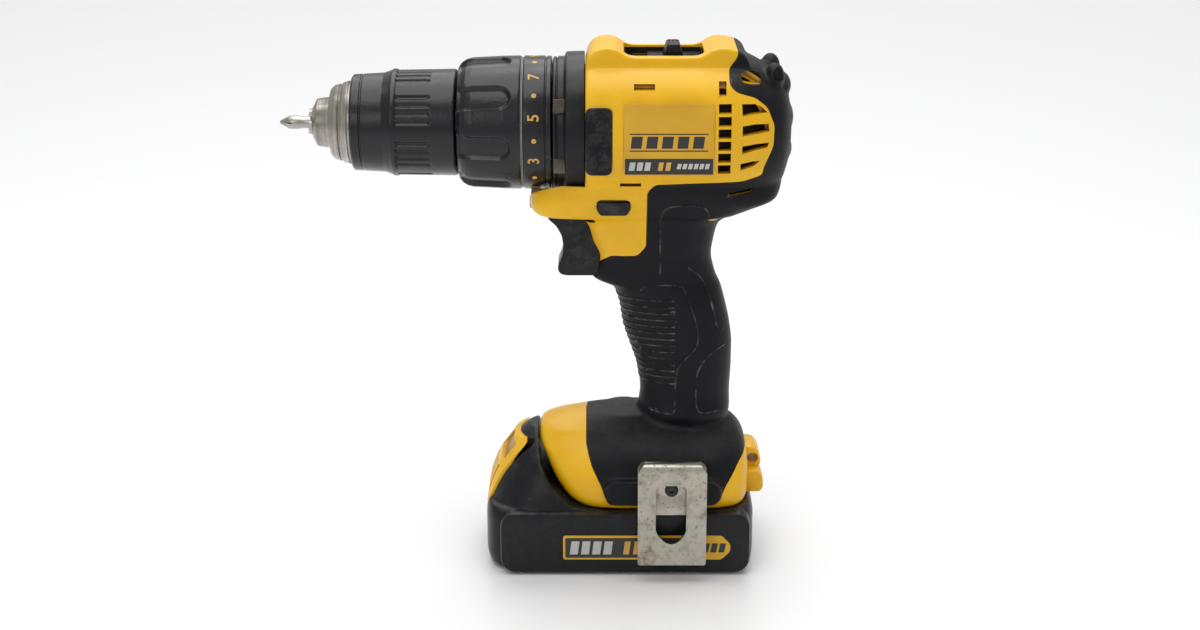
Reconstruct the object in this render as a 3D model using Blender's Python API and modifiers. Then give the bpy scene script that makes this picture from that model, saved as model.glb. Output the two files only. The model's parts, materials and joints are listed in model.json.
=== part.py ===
"""Cordless drill driver, modelled as the pieces it comes apart into.

Frame: metres, +Z up, origin on the floor under the middle of the battery pack.
The chuck points along -X, the spindle lies in the plane Y = 0, and the belt clip is on the -Y side.
"""

import math

import bmesh
import bpy
from mathutils import Vector

# ---- driving dimensions -------------------------------------------------------------------
GAP = 0.0003  # between pieces that touch
SLIP = 0.0004  # around pieces that slide or turn
SPINDLE_Z = 0.2005  # spindle axis above the floor

# chuck and bit
BIT_FLATS = 0.00635
BIT_TIP_X = -0.1504
BIT_LENGTH = 0.050
NOSE_X = -0.1346
CHUCK_REAR_X = -0.0740
CHUCK_CORE_RADIUS = 0.0186
CHUCK_BORE_RADIUS = 0.0068
SLEEVE_FRONT_X = -0.1180
SLEEVE_RADIUS = 0.0234
JAW_TIP_X = -0.1372
JAW_LENGTH = 0.034
JAW_RADIUS = 0.0034
JAW_TIP_OFFSET = 0.0025
JAW_ANGLE = math.radians(13)
JAW_TRAVEL = 0.012
JAW_COUNT = 3
NUT_FRONT_X = -0.1160
NUT_LENGTH = 0.006
SHAFT_RADIUS = 0.0060

# torque collar and clutch
COLLAR_FRONT_X = -0.0714
DIAL_FRONT_X = -0.0430
DIAL_REAR_X = -0.0309
COLLAR_RADIUS = 0.0290
COLLAR_BORE = 0.0220
DIAL_SEAT_RADIUS = 0.0262
COLLAR_SCOOPS = 8
SCOOP_RADIUS = 0.0072
NOSE_TUBE_RADIUS = 0.0158
BEARING_RADIUS = 0.0110
NUT_TRAVEL_X = (0.0090, 0.0140)  # the clutch nut at rest, behind the collar's front
SPRING_WIRE = 0.0009
SPRING_TURNS = 5

# gear case and gears
CASE_RADIUS = 0.0310
CASE_STEP_RADIUS = 0.0290
CASE_FRONT_X = -0.0303
CASE_STEP_X = -0.0254
HOUSING_FRONT_X = -0.0164
NECK_RADIUS = 0.0255
CASE_WALL = 0.0025
GEARBOX_REAR_X = 0.0085
GEAR_MODULE = 0.0009
SUN_TEETH = 12
PLANET_TEETH = 15
RING_TEETH = 42
PLANET_COUNT = 3
PIN_RADIUS = 0.0023
CARRIER_RADIUS = 0.0172
CARRIER_PLATE = 0.0035
STAGE_WIDTH = 0.0080
SHIFT_TRAVEL = 0.0040

# motor
MOTOR_RADIUS = 0.0183
MOTOR_LENGTH = 0.0350
MOTOR_WALL = 0.0016
MOTOR_SHAFT = 0.0022
FAN_RADIUS = 0.0160

# housing
WALL = 0.0036  # grip skin and shell together
SKIN = 0.0014  # thickness of the moulded-on grip
BARREL_HALF_WIDTH = 0.0310
HANDLE_HALF_WIDTH = 0.0175
FOOT_HALF_WIDTH = 0.0335
FOOT_BASE_Z = 0.0303
FOOT_TOP_Z = 0.0696
RAIL_HALF_WIDTH = 0.0172
PAD_DEPTH = 0.0013
POCKET_HALF_WIDTH = 0.0128
POCKET_FLOOR_Z = 0.0275  # above the spindle
POCKET_X = (0.0002, 0.0348)
SELECTOR_TRAVEL = 0.0100
TRIGGER_HALF_WIDTH = 0.0085
TRIGGER_REAR_X = -0.0070
TRIGGER_TRAVEL = 0.0065
TRIGGER_TOP = 0.0870  # trigger, button and lens heights are above the foot, by the handle's scale
TRIGGER_LOW = 0.0630
BUTTON_TRAVEL = 0.0035
BUTTON_LOW = 0.0952
BUTTON_HEIGHT = 0.0063
LED_HEIGHT = 0.0949
LED_RADIUS = 0.0030
RIB_X = (0.0165, 0.0330)
RIB_THICKNESS = 0.0018
SCREW_PLACES = ((0.0302, 0.0700), (0.0300, 0.0200), (-0.0280, -0.0193))
SCREW_SHANK = 0.0013
SCREW_HEAD = 0.0026
SCREW_SEAT_Y = 0.0055
SCREW_BOSS = 0.0037

# battery pack
PACK_X = (-0.0618, 0.0600)
PACK_HALF_WIDTH = 0.0360
PANEL_PROUD = 0.0015
PANEL_X = (-0.0548, 0.0575)
PACK_TOP_Z = 0.0300
PACK_SPLIT_Z = 0.0200
PACK_WALL = 0.0022
CELL_RADIUS = 0.0092
CELL_COUNT = 5
TOWER_HALF_WIDTH = 0.0200
TOWER_TOP_Z = 0.0420
TOWER_X = (-0.0200, 0.0430)
LATCH_HALF_WIDTH = 0.0130
LATCH_TRAVEL = 0.0030
LATCH_SPRING_Z = 0.0420
LATCH_SPRING_X = (-0.0505, -0.0415)
LATCH_SPRING_RADIUS = 0.0027
LATCH_WIRE = 0.0004
BLADE_COUNT = 4
BLADE_PITCH = 0.0080
BLADE_HALF_WIDTH = 0.0004

# belt clip
CLIP_X = (0.0067, 0.0372)
CLIP_Z = (0.0092, 0.0578)
CLIP_THICKNESS = 0.0013
CLIP_ROOM = 0.0090  # from the pack's panel to the clip's outer face
CLIP_SCREW_X = 0.0218
CLIP_SCREW_Z = 0.0437
BOSS_PROUD = 0.0035
BOSS_X = (-0.0080, 0.0440)
BOSS_Z = (0.0315, 0.0440)
SCREW_RADIUS = 0.0030
CLIP_SHANK_RADIUS = 0.0015

LABEL_THICKNESS = 0.0004
EXACT = "EXACT"
CLOSED = "MANIFOLD"  # for the housing and the pack, where the exact one leaves open edges
TURN_STEPS = 24
FINE_TURN_STEPS = 12

YELLOW = (0.83, 0.50, 0.02)
RUBBER = (0.022, 0.023, 0.026)
BLACK = (0.030, 0.031, 0.034)
STEEL = (0.62, 0.60, 0.57)
DARK_STEEL = (0.20, 0.20, 0.21)

# ---- sizes that follow from those above ---------------------------------------------------
PANEL_HALF_WIDTH = PACK_HALF_WIDTH + PANEL_PROUD
BOSS_Y = -FOOT_HALF_WIDTH - BOSS_PROUD
CLIP_LEAF_Y = BOSS_Y - GAP - CLIP_THICKNESS
CLIP_PLATE_Y = -PANEL_HALF_WIDTH - CLIP_ROOM


# ---- making and joining -------------------------------------------------------------------
def clear_scene():
    for thing in list(bpy.data.objects):
        bpy.data.objects.remove(thing, do_unlink=True)
    for old in list(bpy.data.collections):
        bpy.data.collections.remove(old)


def collections():
    root = bpy.context.scene.collection
    made = []
    for name in ("cordless_drill", "cutters"):
        group = bpy.data.collections.new(name)
        root.children.link(group)
        made.append(group)
    return made


def finish(thing, colour, roughness, metallic=0.0):
    """The piece's own Principled material."""
    skin = bpy.data.materials.new(thing.name)
    skin.use_nodes = True
    shader = skin.node_tree.nodes["Principled BSDF"]
    shader.inputs["Base Color"].default_value = (*colour, 1.0)
    shader.inputs["Roughness"].default_value = roughness
    shader.inputs["Metallic"].default_value = metallic
    thing.data.materials.clear()
    thing.data.materials.append(skin)
    return thing


def as_object(name, mesh, group):
    thing = bpy.data.objects.new(name, mesh)
    group.objects.link(thing)
    if group is CUTTERS:
        thing.hide_render = True
        thing.display_type = "WIRE"
    return thing


def from_bmesh(name, bm, group):
    mesh = bpy.data.meshes.new(name)
    bm.to_mesh(mesh)
    bm.free()
    return as_object(name, mesh, group)


def bake(thing):
    """Applies the modifiers and the place, and welds the mesh."""
    bpy.context.view_layer.update()
    graph = bpy.context.evaluated_depsgraph_get()
    mesh = bpy.data.meshes.new_from_object(thing.evaluated_get(graph))
    mesh.transform(thing.matrix_world)
    bm = bmesh.new()
    bm.from_mesh(mesh)
    bmesh.ops.remove_doubles(bm, verts=bm.verts, dist=2e-8)
    bm.to_mesh(mesh)
    bm.free()
    name = thing.name
    group = thing.users_collection[0]
    bpy.data.objects.remove(thing, do_unlink=True)
    return as_object(name, mesh, group)


def combine(thing, other, operation, solver=EXACT):
    """Bakes a Boolean of two objects; the second one stays as it is."""
    modifier = thing.modifiers.new(operation.lower(), "BOOLEAN")
    modifier.operation = operation
    modifier.solver = solver
    modifier.object = other
    return bake(thing)


def cut(thing, *cutters, solver=EXACT):
    for cutter in cutters:
        thing = combine(thing, cutter, "DIFFERENCE", solver)
    return thing


def join(thing, *others, solver=EXACT):
    for other in others:
        thing = combine(thing, other, "UNION", solver)
    return thing


def grown(points, amount):
    """An outline's points moved outwards by an amount, each along the middle of its two normals."""
    count = len(points)
    area = sum(ax * bz - bx * az for (ax, az), (bx, bz) in zip(points, points[1:] + points[:1]))
    turn = 1.0 if area > 0 else -1.0
    moved = []
    for i, (x, z) in enumerate(points):
        (ax, az), (bx, bz) = points[i - 1], points[(i + 1) % count]
        first = math.atan2(z - az, x - ax) - turn * math.pi / 2
        second = math.atan2(bz - z, bx - x) - turn * math.pi / 2
        middle = (math.cos(first) + math.cos(second), math.sin(first) + math.sin(second))
        share = 1.0 + math.cos(second - first)
        moved.append((x + amount * middle[0] / share, z + amount * middle[1] / share))
    return moved


def copy_of(thing, name, group):
    return as_object(name, thing.data.copy(), group)


def block(name, low, high, group=None, bevel=0.0):
    bm = bmesh.new()
    bmesh.ops.create_cube(bm, size=1.0)
    size = [b - a for a, b in zip(low, high)]
    middle = [(a + b) / 2 for a, b in zip(low, high)]
    bmesh.ops.scale(bm, vec=size, verts=bm.verts)
    bmesh.ops.translate(bm, vec=middle, verts=bm.verts)
    thing = from_bmesh(name, bm, group or CUTTERS)
    if bevel:
        rounding = thing.modifiers.new("edges", "BEVEL")
        rounding.width = bevel
        rounding.segments = 1
        thing = bake(thing)
    return thing


def rod(name, start, end, radius, group=None, sides=24, end_radius=None):
    """A straight cylinder or cone between two points."""
    first, last = Vector(start), Vector(end)
    along = last - first
    bm = bmesh.new()
    bmesh.ops.create_cone(
        bm,
        cap_ends=True,
        segments=sides,
        radius1=radius,
        radius2=radius if end_radius is None else end_radius,
        depth=along.length,
    )
    bmesh.ops.rotate(bm, matrix=along.to_track_quat("Z", "X").to_matrix(), verts=bm.verts)
    bmesh.ops.translate(bm, vec=(first + last) / 2, verts=bm.verts)
    return from_bmesh(name, bm, group or CUTTERS)


def rod_across(name, place, y_low, y_high, radius, group=None, sides=24):
    """A cylinder along Y, at an (x, z) place."""
    x, z = place
    return rod(name, (x, y_low, z), (x, y_high, z), radius, group, sides)


def outline_plate(name, outlines, half_depth, group=None):
    """A flat outline in X and Z, extruded both ways along Y. Later outlines are holes."""
    curve = bpy.data.curves.new(name, "CURVE")
    curve.dimensions = "2D"
    curve.fill_mode = "BOTH"
    curve.extrude = half_depth
    for outline in outlines:
        spline = curve.splines.new("POLY")
        spline.points.add(len(outline) - 1)
        for point, (x, z) in zip(spline.points, outline):
            point.co = (x, z, 0.0, 1.0)
        spline.use_cyclic_u = True
    thing = as_object(name, curve, group or CUTTERS)
    thing.rotation_euler = (math.pi / 2, 0.0, 0.0)
    return bake(thing)


def slab(name, outlines, y_low, y_high, group=None):
    """An outline in X and Z between two Y planes."""
    thing = outline_plate(name, outlines, (y_high - y_low) / 2, group)
    thing.location.y = (y_low + y_high) / 2
    return bake(thing)


def rounded(low, high, radius, steps=3):
    """Points of a rounded rectangle in X and Z."""
    points = []
    corners = ((high[0], high[1], 0), (low[0], high[1], 1), (low[0], low[1], 2), (high[0], low[1], 3))
    for x, z, quarter in corners:
        cx = x - radius if quarter in (0, 3) else x + radius
        cz = z - radius if quarter in (0, 1) else z + radius
        for i in range(steps + 1):
            angle = math.pi / 2 * (quarter + i / steps)
            points.append((cx + radius * math.cos(angle), cz + radius * math.sin(angle)))
    return points


def turned(name, profile, group=None, steps=TURN_STEPS):
    """A solid of revolution about the spindle. The profile is (x, radius), from the nose end
    down the outer side and back up the inner side."""
    mesh = bpy.data.meshes.new(name)
    count = len(profile)
    on_axis = profile[0][1] == 0.0 and profile[-1][1] == 0.0
    edges = [(i, i + 1) for i in range(count - 1)]
    if not on_axis:
        edges.append((count - 1, 0))
    mesh.from_pydata([(r, 0.0, -x) for x, r in profile], edges, [])
    thing = as_object(name, mesh, group or CUTTERS)
    screw = thing.modifiers.new("turn", "SCREW")
    screw.steps = steps
    screw.render_steps = steps
    screw.use_merge_vertices = True
    screw.merge_threshold = 0.00002
    weld = thing.modifiers.new("poles", "WELD")
    weld.merge_threshold = 0.00002
    thing.location = (0.0, 0.0, SPINDLE_Z)
    thing.rotation_euler = (0.0, -math.pi / 2, 0.0)
    return thing


def tube(name, x_front, x_rear, outer, inner, group=None, steps=TURN_STEPS):
    return turned(name, [(x_front, outer), (x_rear, outer), (x_rear, inner), (x_front, inner)], group, steps)


def oval(low, high, half_width, power, count):
    """Points of a superellipse; the first axis runs from low to high, the second is Y."""
    middle, reach = (low + high) / 2, (high - low) / 2
    points = []
    for i in range(count):
        angle = 2 * math.pi * (i + 0.5) / count
        c, s = math.cos(angle), math.sin(angle)
        along = math.copysign(abs(c) ** (2 / power), c)
        across = math.copysign(abs(s) ** (2 / power), s)
        points.append((middle + reach * along, half_width * across))
    return points


def loft(name, sections, upright, inset=0.0, count=20, group=None):
    """A skin over superellipse sections (station, low, high, half width, power, pull).
    Upright sections lie flat and stack along Z; the others stand and stack along X.
    Pull is the share of the inset that moves the section's own station."""
    bm = bmesh.new()
    rings = []
    for station, low, high, half_width, power, pull in sections:
        station -= inset * pull
        ring = []
        for a, y in oval(low + inset, high - inset, half_width - inset, power, count):
            place = (a, y, station) if upright else (station, y, a)
            ring.append(bm.verts.new(place))
        rings.append(ring)
    for near, far in zip(rings, rings[1:]):
        for i in range(count):
            j = (i + 1) % count
            bm.faces.new((near[i], near[j], far[j], far[i]))
    bm.faces.new(list(reversed(rings[0])))
    bm.faces.new(rings[-1])
    bmesh.ops.recalc_face_normals(bm, faces=bm.faces)
    return from_bmesh(name, bm, group or CUTTERS)


def circle_points(radius, count, turn=0.0):
    angles = [turn + 2 * math.pi * i / count for i in range(count)]
    return [(radius * math.cos(a), radius * math.sin(a)) for a in angles]


# ---- gears --------------------------------------------------------------------------------
def gear_points(teeth, tip, root, turn):
    """A toothed outline with straight flanks; the pitch point sits at half a tooth less backlash."""
    pitch = 2 * math.pi / teeth
    tip_half, root_half = 0.10 * pitch, 0.29 * pitch
    points = []
    for i in range(teeth):
        middle = turn + i * pitch
        for radius, offset in ((root, -root_half), (tip, -tip_half), (tip, tip_half), (root, root_half)):
            points.append((radius * math.cos(middle + offset), radius * math.sin(middle + offset)))
    return points


def spindle_plate(name, outlines, x_front, x_rear, centre=(0.0, 0.0), group=None):
    """An outline across the spindle, extruded along X. Outline axes are up and then -Y."""
    curve = bpy.data.curves.new(name, "CURVE")
    curve.dimensions = "2D"
    curve.fill_mode = "BOTH"
    curve.extrude = (x_rear - x_front) / 2
    for outline in outlines:
        spline = curve.splines.new("POLY")
        spline.points.add(len(outline) - 1)
        for point, (up, side) in zip(spline.points, outline):
            point.co = (up, side, 0.0, 1.0)
        spline.use_cyclic_u = True
    thing = as_object(name, curve, group or CUTTERS)
    thing.location = ((x_front + x_rear) / 2, centre[1], SPINDLE_Z + centre[0])
    thing.rotation_euler = (0.0, -math.pi / 2, 0.0)
    return thing


def planet_centre(index):
    reach = (SUN_TEETH + PLANET_TEETH) * GEAR_MODULE / 2
    angle = 2 * math.pi * index / PLANET_COUNT
    return reach * math.cos(angle), reach * math.sin(angle)


def external_radii(teeth):
    pitch_radius = teeth * GEAR_MODULE / 2
    return pitch_radius + 0.75 * GEAR_MODULE, pitch_radius - 1.05 * GEAR_MODULE


def sun_gear(name, x_front, x_rear, bore, group=None):
    tip, root = external_radii(SUN_TEETH)
    outlines = [gear_points(SUN_TEETH, tip, root, 0.0)]
    if bore:
        outlines.append(circle_points(bore, FINE_TURN_STEPS))
    return spindle_plate(name, outlines, x_front, x_rear, group=group)


def planet_gears(stage, x_front, x_rear):
    tip, root = external_radii(PLANET_TEETH)
    for index in range(PLANET_COUNT):
        turn = 2 * math.pi * index / PLANET_COUNT
        outlines = [
            gear_points(PLANET_TEETH, tip, root, turn),
            circle_points(PIN_RADIUS + GAP, FINE_TURN_STEPS),
        ]
        gear = spindle_plate(
            f"planet_{stage}_{index + 1}", outlines, x_front, x_rear, planet_centre(index), PARTS
        )
        finish(gear, DARK_STEEL, 0.35, 1.0)


def ring_gear(name, x_front, x_rear, outer):
    pitch_radius = RING_TEETH * GEAR_MODULE / 2
    half_tooth = math.pi / RING_TEETH
    teeth = gear_points(
        RING_TEETH, pitch_radius - 0.75 * GEAR_MODULE, pitch_radius + 1.05 * GEAR_MODULE, half_tooth
    )
    gear = spindle_plate(name, [circle_points(outer, TURN_STEPS), teeth], x_front, x_rear, group=PARTS)
    return finish(gear, DARK_STEEL, 0.4, 1.0)


def carrier_pins(name, x_front, x_rear):
    pins = []
    for index in range(PLANET_COUNT):
        up, side = planet_centre(index)
        place = (side, SPINDLE_Z + up)
        pins.append(rod(f"{name}_{index}", (x_front, *place), (x_rear, *place), PIN_RADIUS, sides=14))
    return pins


# Stations along the gearbox, from the front wall of the case to its rear.
FRONT_CARRIER_X = CASE_FRONT_X + CASE_WALL + 0.0020
FRONT_STAGE_X = FRONT_CARRIER_X + CARRIER_PLATE + 0.0005
REAR_CARRIER_X = FRONT_STAGE_X + STAGE_WIDTH + 0.0030
REAR_STAGE_X = REAR_CARRIER_X + CARRIER_PLATE + 0.0005
MOTOR_X = GEARBOX_REAR_X + 0.0005
MOTOR_REAR_X = MOTOR_X + MOTOR_LENGTH
ENDBELL_REAR_X = MOTOR_REAR_X + 0.0040
FAN_X = ENDBELL_REAR_X + 0.0015
RING_OUTER = NECK_RADIUS - CASE_WALL - GAP


def add_gearbox():
    planet_gears("front", FRONT_STAGE_X, FRONT_STAGE_X + STAGE_WIDTH)
    planet_gears("rear", REAR_STAGE_X, REAR_STAGE_X + STAGE_WIDTH)
    ring_gear("ring_gear_front", FRONT_STAGE_X - 0.0004, FRONT_STAGE_X + STAGE_WIDTH, RING_OUTER)
    ring_gear("ring_gear_rear", REAR_STAGE_X, REAR_STAGE_X + STAGE_WIDTH, RING_OUTER)
    carrier = turned(
        "rear_carrier",
        [
            (REAR_CARRIER_X, 0.0),
            (REAR_CARRIER_X, CARRIER_RADIUS),
            (REAR_CARRIER_X + CARRIER_PLATE, CARRIER_RADIUS),
            (REAR_CARRIER_X + CARRIER_PLATE, 0.0),
        ],
        PARTS,
        24,
    )
    sun = bake(sun_gear("rear_carrier_sun", FRONT_STAGE_X + 0.0004, REAR_CARRIER_X + 0.0010, 0.0))
    pins = carrier_pins("rear_pin", REAR_CARRIER_X + 0.0010, REAR_STAGE_X + STAGE_WIDTH + 0.0004)
    finish(join(bake(carrier), sun, *pins), STEEL, 0.35, 1.0)
    plate = tube("gearbox_plate", GEARBOX_REAR_X - 0.0026, GEARBOX_REAR_X, RING_OUTER, 0.0075, PARTS, 28)
    finish(plate, STEEL, 0.4, 1.0)


def add_gear_case():
    """The moulded case: a threaded nose tube, the visible flange, and the neck inside the housing."""
    inner = NECK_RADIUS - CASE_WALL
    tube_front = COLLAR_FRONT_X + 0.0062
    case = turned(
        "gear_case",
        [
            (tube_front, NOSE_TUBE_RADIUS),
            (CASE_FRONT_X, NOSE_TUBE_RADIUS),
            (CASE_FRONT_X, CASE_STEP_RADIUS),
            (CASE_STEP_X, CASE_STEP_RADIUS),
            (CASE_STEP_X, CASE_RADIUS),
            (HOUSING_FRONT_X - GAP, CASE_RADIUS),
            (HOUSING_FRONT_X - GAP, NECK_RADIUS),
            (GEARBOX_REAR_X, NECK_RADIUS),
            (GEARBOX_REAR_X, inner),
            (CASE_FRONT_X + CASE_WALL, inner),
            (CASE_FRONT_X + CASE_WALL, SHAFT_RADIUS + 0.0010),
            (COLLAR_FRONT_X + 0.0140, SHAFT_RADIUS + 0.0010),
            (COLLAR_FRONT_X + 0.0140, BEARING_RADIUS + GAP),
            (tube_front, BEARING_RADIUS + GAP),
        ],
        PARTS,
    )
    slot = block(
        "shift_slot",
        (REAR_STAGE_X - SHIFT_TRAVEL - SLIP, -0.0030, SPINDLE_Z + inner - 0.001),
        (REAR_STAGE_X + 0.0040, 0.0030, SPINDLE_Z + NECK_RADIUS + 0.001),
    )
    finish(cut(bake(case), slot), BLACK, 0.4)
    bearing = tube(
        "spindle_bearing",
        tube_front + 0.0005,
        COLLAR_FRONT_X + 0.0140 - GAP,
        BEARING_RADIUS,
        SHAFT_RADIUS + GAP,
        PARTS,
        24,
    )
    finish(bearing, STEEL, 0.25, 1.0)


# ---- clutch and torque collar -------------------------------------------------------------
def add_clutch():
    nut = tube(
        "clutch_nut",
        COLLAR_FRONT_X + NUT_TRAVEL_X[0],
        COLLAR_FRONT_X + NUT_TRAVEL_X[1],
        COLLAR_BORE - SLIP,
        NOSE_TUBE_RADIUS + SLIP,
        PARTS,
        28,
    )
    finish(nut, BLACK, 0.5)
    plate_x = CASE_FRONT_X - 0.0040
    plate = tube(
        "clutch_plate", plate_x, plate_x + 0.0015, COLLAR_BORE - SLIP, NOSE_TUBE_RADIUS + SLIP, PARTS, 28
    )
    finish(plate, STEEL, 0.3, 1.0)
    start = COLLAR_FRONT_X + NUT_TRAVEL_X[1] + SPRING_WIRE + GAP
    end = plate_x - SPRING_WIRE - GAP
    coil = bpy.data.curves.new("clutch_spring", "CURVE")
    coil.dimensions = "3D"
    coil.bevel_depth = SPRING_WIRE
    coil.bevel_resolution = 0
    coil.use_fill_caps = True
    spline = coil.splines.new("POLY")
    per_turn = 14
    count = SPRING_TURNS * per_turn
    spline.points.add(count)
    middle = (NOSE_TUBE_RADIUS + COLLAR_BORE) / 2
    for i, point in enumerate(spline.points):
        angle = 2 * math.pi * i / per_turn
        x = start + (end - start) * i / count
        point.co = (x, middle * math.sin(angle), middle * math.cos(angle), 1.0)
    spring = as_object("clutch_spring", coil, PARTS)
    spring.location.z = SPINDLE_Z
    finish(spring, STEEL, 0.3, 1.0)


def add_torque_collar():
    wall_rear = COLLAR_FRONT_X + 0.0022
    collar = turned(
        "torque_collar",
        [
            (COLLAR_FRONT_X, COLLAR_RADIUS - 0.0045),
            (COLLAR_FRONT_X + 0.0015, COLLAR_RADIUS - 0.0030),
            (COLLAR_FRONT_X + 0.0060, COLLAR_RADIUS - 0.0008),
            (DIAL_FRONT_X - 0.0080, COLLAR_RADIUS),
            (DIAL_FRONT_X - 0.0012, COLLAR_RADIUS + 0.0001),
            (DIAL_FRONT_X - GAP, COLLAR_RADIUS - 0.0006),
            (DIAL_FRONT_X - GAP, DIAL_SEAT_RADIUS),
            (DIAL_REAR_X - GAP, DIAL_SEAT_RADIUS),
            (DIAL_REAR_X - GAP, COLLAR_BORE),
            (wall_rear, COLLAR_BORE),
            (wall_rear, NOSE_TUBE_RADIUS + 0.0008),
            (COLLAR_FRONT_X, NOSE_TUBE_RADIUS + 0.0008),
        ],
        PARTS,
    )
    scoops = []
    for index in range(COLLAR_SCOOPS):
        angle = 2 * math.pi * (index + 0.75) / COLLAR_SCOOPS
        reach = COLLAR_RADIUS + SCOOP_RADIUS - 0.0012
        place = (reach * math.sin(angle), SPINDLE_Z + reach * math.cos(angle))
        start, end = COLLAR_FRONT_X + 0.0050, DIAL_FRONT_X - 0.0100
        scoops.append(rod(f"scoop_{index}", (start, *place), (end, *place), SCOOP_RADIUS, sides=10))
    finish(cut(bake(collar), *scoops), RUBBER, 0.35)
    outer, bore = COLLAR_RADIUS + 0.0001, DIAL_SEAT_RADIUS + GAP
    dial = tube("torque_dial", DIAL_FRONT_X, DIAL_REAR_X, outer, bore, PARTS)
    finish(dial, RUBBER, 0.35)


# ---- chuck --------------------------------------------------------------------------------
def jaw_axis(index):
    """A point on the jaw's centre line at the tip, and the unit direction towards its rear."""
    angle = 2 * math.pi * index / JAW_COUNT + math.pi / 2
    side, up = math.cos(angle), math.sin(angle)
    tip = (JAW_TIP_X, JAW_TIP_OFFSET * side, SPINDLE_Z + JAW_TIP_OFFSET * up)
    slope = math.sin(JAW_ANGLE)
    return tip, (math.cos(JAW_ANGLE), slope * side, slope * up)


def along_jaw(index, distance):
    tip, direction = jaw_axis(index)
    return tuple(t + distance * d for t, d in zip(tip, direction))


def add_bit():
    """A hexagon shank with a turned neck and a four-winged tip."""
    shank_front = BIT_TIP_X + 0.0150
    flats = BIT_FLATS / 2 / math.cos(math.pi / 6)
    hexagon = circle_points(flats, 6, math.pi / 6)
    shank = bake(spindle_plate("shank", [hexagon], shank_front, BIT_TIP_X + BIT_LENGTH))
    neck = bake(
        turned(
            "screwdriver_bit",
            [
                (BIT_TIP_X, 0.0),
                (BIT_TIP_X, 0.0006),
                (BIT_TIP_X + 0.0042, 0.0031),
                (BIT_TIP_X + 0.0085, 0.0029),
                (shank_front + 0.0005, 0.0026),
                (shank_front + 0.0005, 0.0),
            ],
            PARTS,
            16,
        )
    )
    flutes = []
    for index in range(4):
        angle = math.pi / 4 + index * math.pi / 2
        near, far = 0.0021, 0.0042
        first = (BIT_TIP_X - 0.001, near * math.sin(angle), SPINDLE_Z + near * math.cos(angle))
        second = (BIT_TIP_X + 0.0095, far * math.sin(angle), SPINDLE_Z + far * math.cos(angle))
        flutes.append(rod(f"flute_{index}", first, second, 0.0014, sides=8))
    finish(join(cut(neck, *flutes), shank), STEEL, 0.3, 1.0)


def add_jaws():
    grip = BIT_FLATS / 2 + GAP / 2
    for index in range(JAW_COUNT):
        tip, root = along_jaw(index, 0.0), along_jaw(index, JAW_LENGTH)
        jaw = rod(f"jaw_{index + 1}", tip, root, JAW_RADIUS, PARTS, 16)
        rear_x = JAW_TIP_X + JAW_LENGTH + 0.004
        flat = block("jaw_flat", (JAW_TIP_X - 0.004, -0.02, -0.02), (rear_x, 0.02, grip))
        flat.rotation_euler = (2 * math.pi * index / JAW_COUNT, 0.0, 0.0)
        flat.location.z = SPINDLE_Z
        nose = block("jaw_end", (JAW_TIP_X - 0.003, -0.02, -0.02), (JAW_TIP_X, 0.02, 0.02))
        nose.location.z = SPINDLE_Z
        finish(cut(jaw, bake(flat), bake(nose)), STEEL, 0.25, 1.0)


def add_chuck_body():
    groove_rear = NUT_FRONT_X + NUT_LENGTH
    body = turned(
        "chuck_body",
        [
            (NOSE_X, 0.0085),
            (NOSE_X + 0.0008, 0.0104),
            (-0.1273, 0.0113),
            (-0.1273, 0.0153),
            (SLEEVE_FRONT_X - GAP, 0.0180),
            (SLEEVE_FRONT_X - GAP, CHUCK_CORE_RADIUS),
            (NUT_FRONT_X - GAP, CHUCK_CORE_RADIUS),
            (NUT_FRONT_X - GAP, 0.0112),
            (groove_rear + GAP, 0.0112),
            (groove_rear + GAP, CHUCK_CORE_RADIUS),
            (CHUCK_REAR_X, CHUCK_CORE_RADIUS),
            (CHUCK_REAR_X, SHAFT_RADIUS + GAP),
            (-0.0880, SHAFT_RADIUS + GAP),
            (-0.0880, CHUCK_BORE_RADIUS),
            (NOSE_X, CHUCK_BORE_RADIUS),
        ],
        PARTS,
    )
    body = bake(body)
    depth = JAW_LENGTH + JAW_TRAVEL + SLIP
    for index in range(JAW_COUNT):
        channel = rod(
            f"channel_{index}", along_jaw(index, -0.004), along_jaw(index, depth), JAW_RADIUS + GAP, sides=12
        )
        body = cut(body, channel)
    finish(body, STEEL, 0.25, 1.0)


def add_sleeve():
    bore = CHUCK_CORE_RADIUS + GAP
    sleeve = turned(
        "chuck_sleeve",
        [
            (SLEEVE_FRONT_X, SLEEVE_RADIUS - 0.0030),
            (SLEEVE_FRONT_X + 0.0008, SLEEVE_RADIUS - 0.0024),
            (SLEEVE_FRONT_X + 0.0140, SLEEVE_RADIUS - 0.0018),
            (-0.0999, SLEEVE_RADIUS),
            (-0.0986, SLEEVE_RADIUS),
            (-0.0976, SLEEVE_RADIUS - 0.0006),
            (CHUCK_REAR_X + GAP - 0.0010, SLEEVE_RADIUS - 0.0001),
            (CHUCK_REAR_X + GAP, SLEEVE_RADIUS - 0.0011),
            (CHUCK_REAR_X + GAP, bore),
            (SLEEVE_FRONT_X, bore),
        ],
        PARTS,
    )
    finish(sleeve, RUBBER, 0.35)
    slope = math.tan(JAW_ANGLE)
    clear = JAW_RADIUS / math.cos(JAW_ANGLE) + SLIP

    def thread_radius(x):
        return JAW_TIP_OFFSET + (x - JAW_TIP_X) * slope + clear

    rear = NUT_FRONT_X + NUT_LENGTH
    nut = turned(
        "jaw_nut",
        [
            (NUT_FRONT_X, CHUCK_CORE_RADIUS),
            (rear, CHUCK_CORE_RADIUS),
            (rear, thread_radius(rear)),
            (NUT_FRONT_X, thread_radius(NUT_FRONT_X)),
        ],
        PARTS,
        28,
    )
    finish(nut, DARK_STEEL, 0.4, 1.0)


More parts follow.
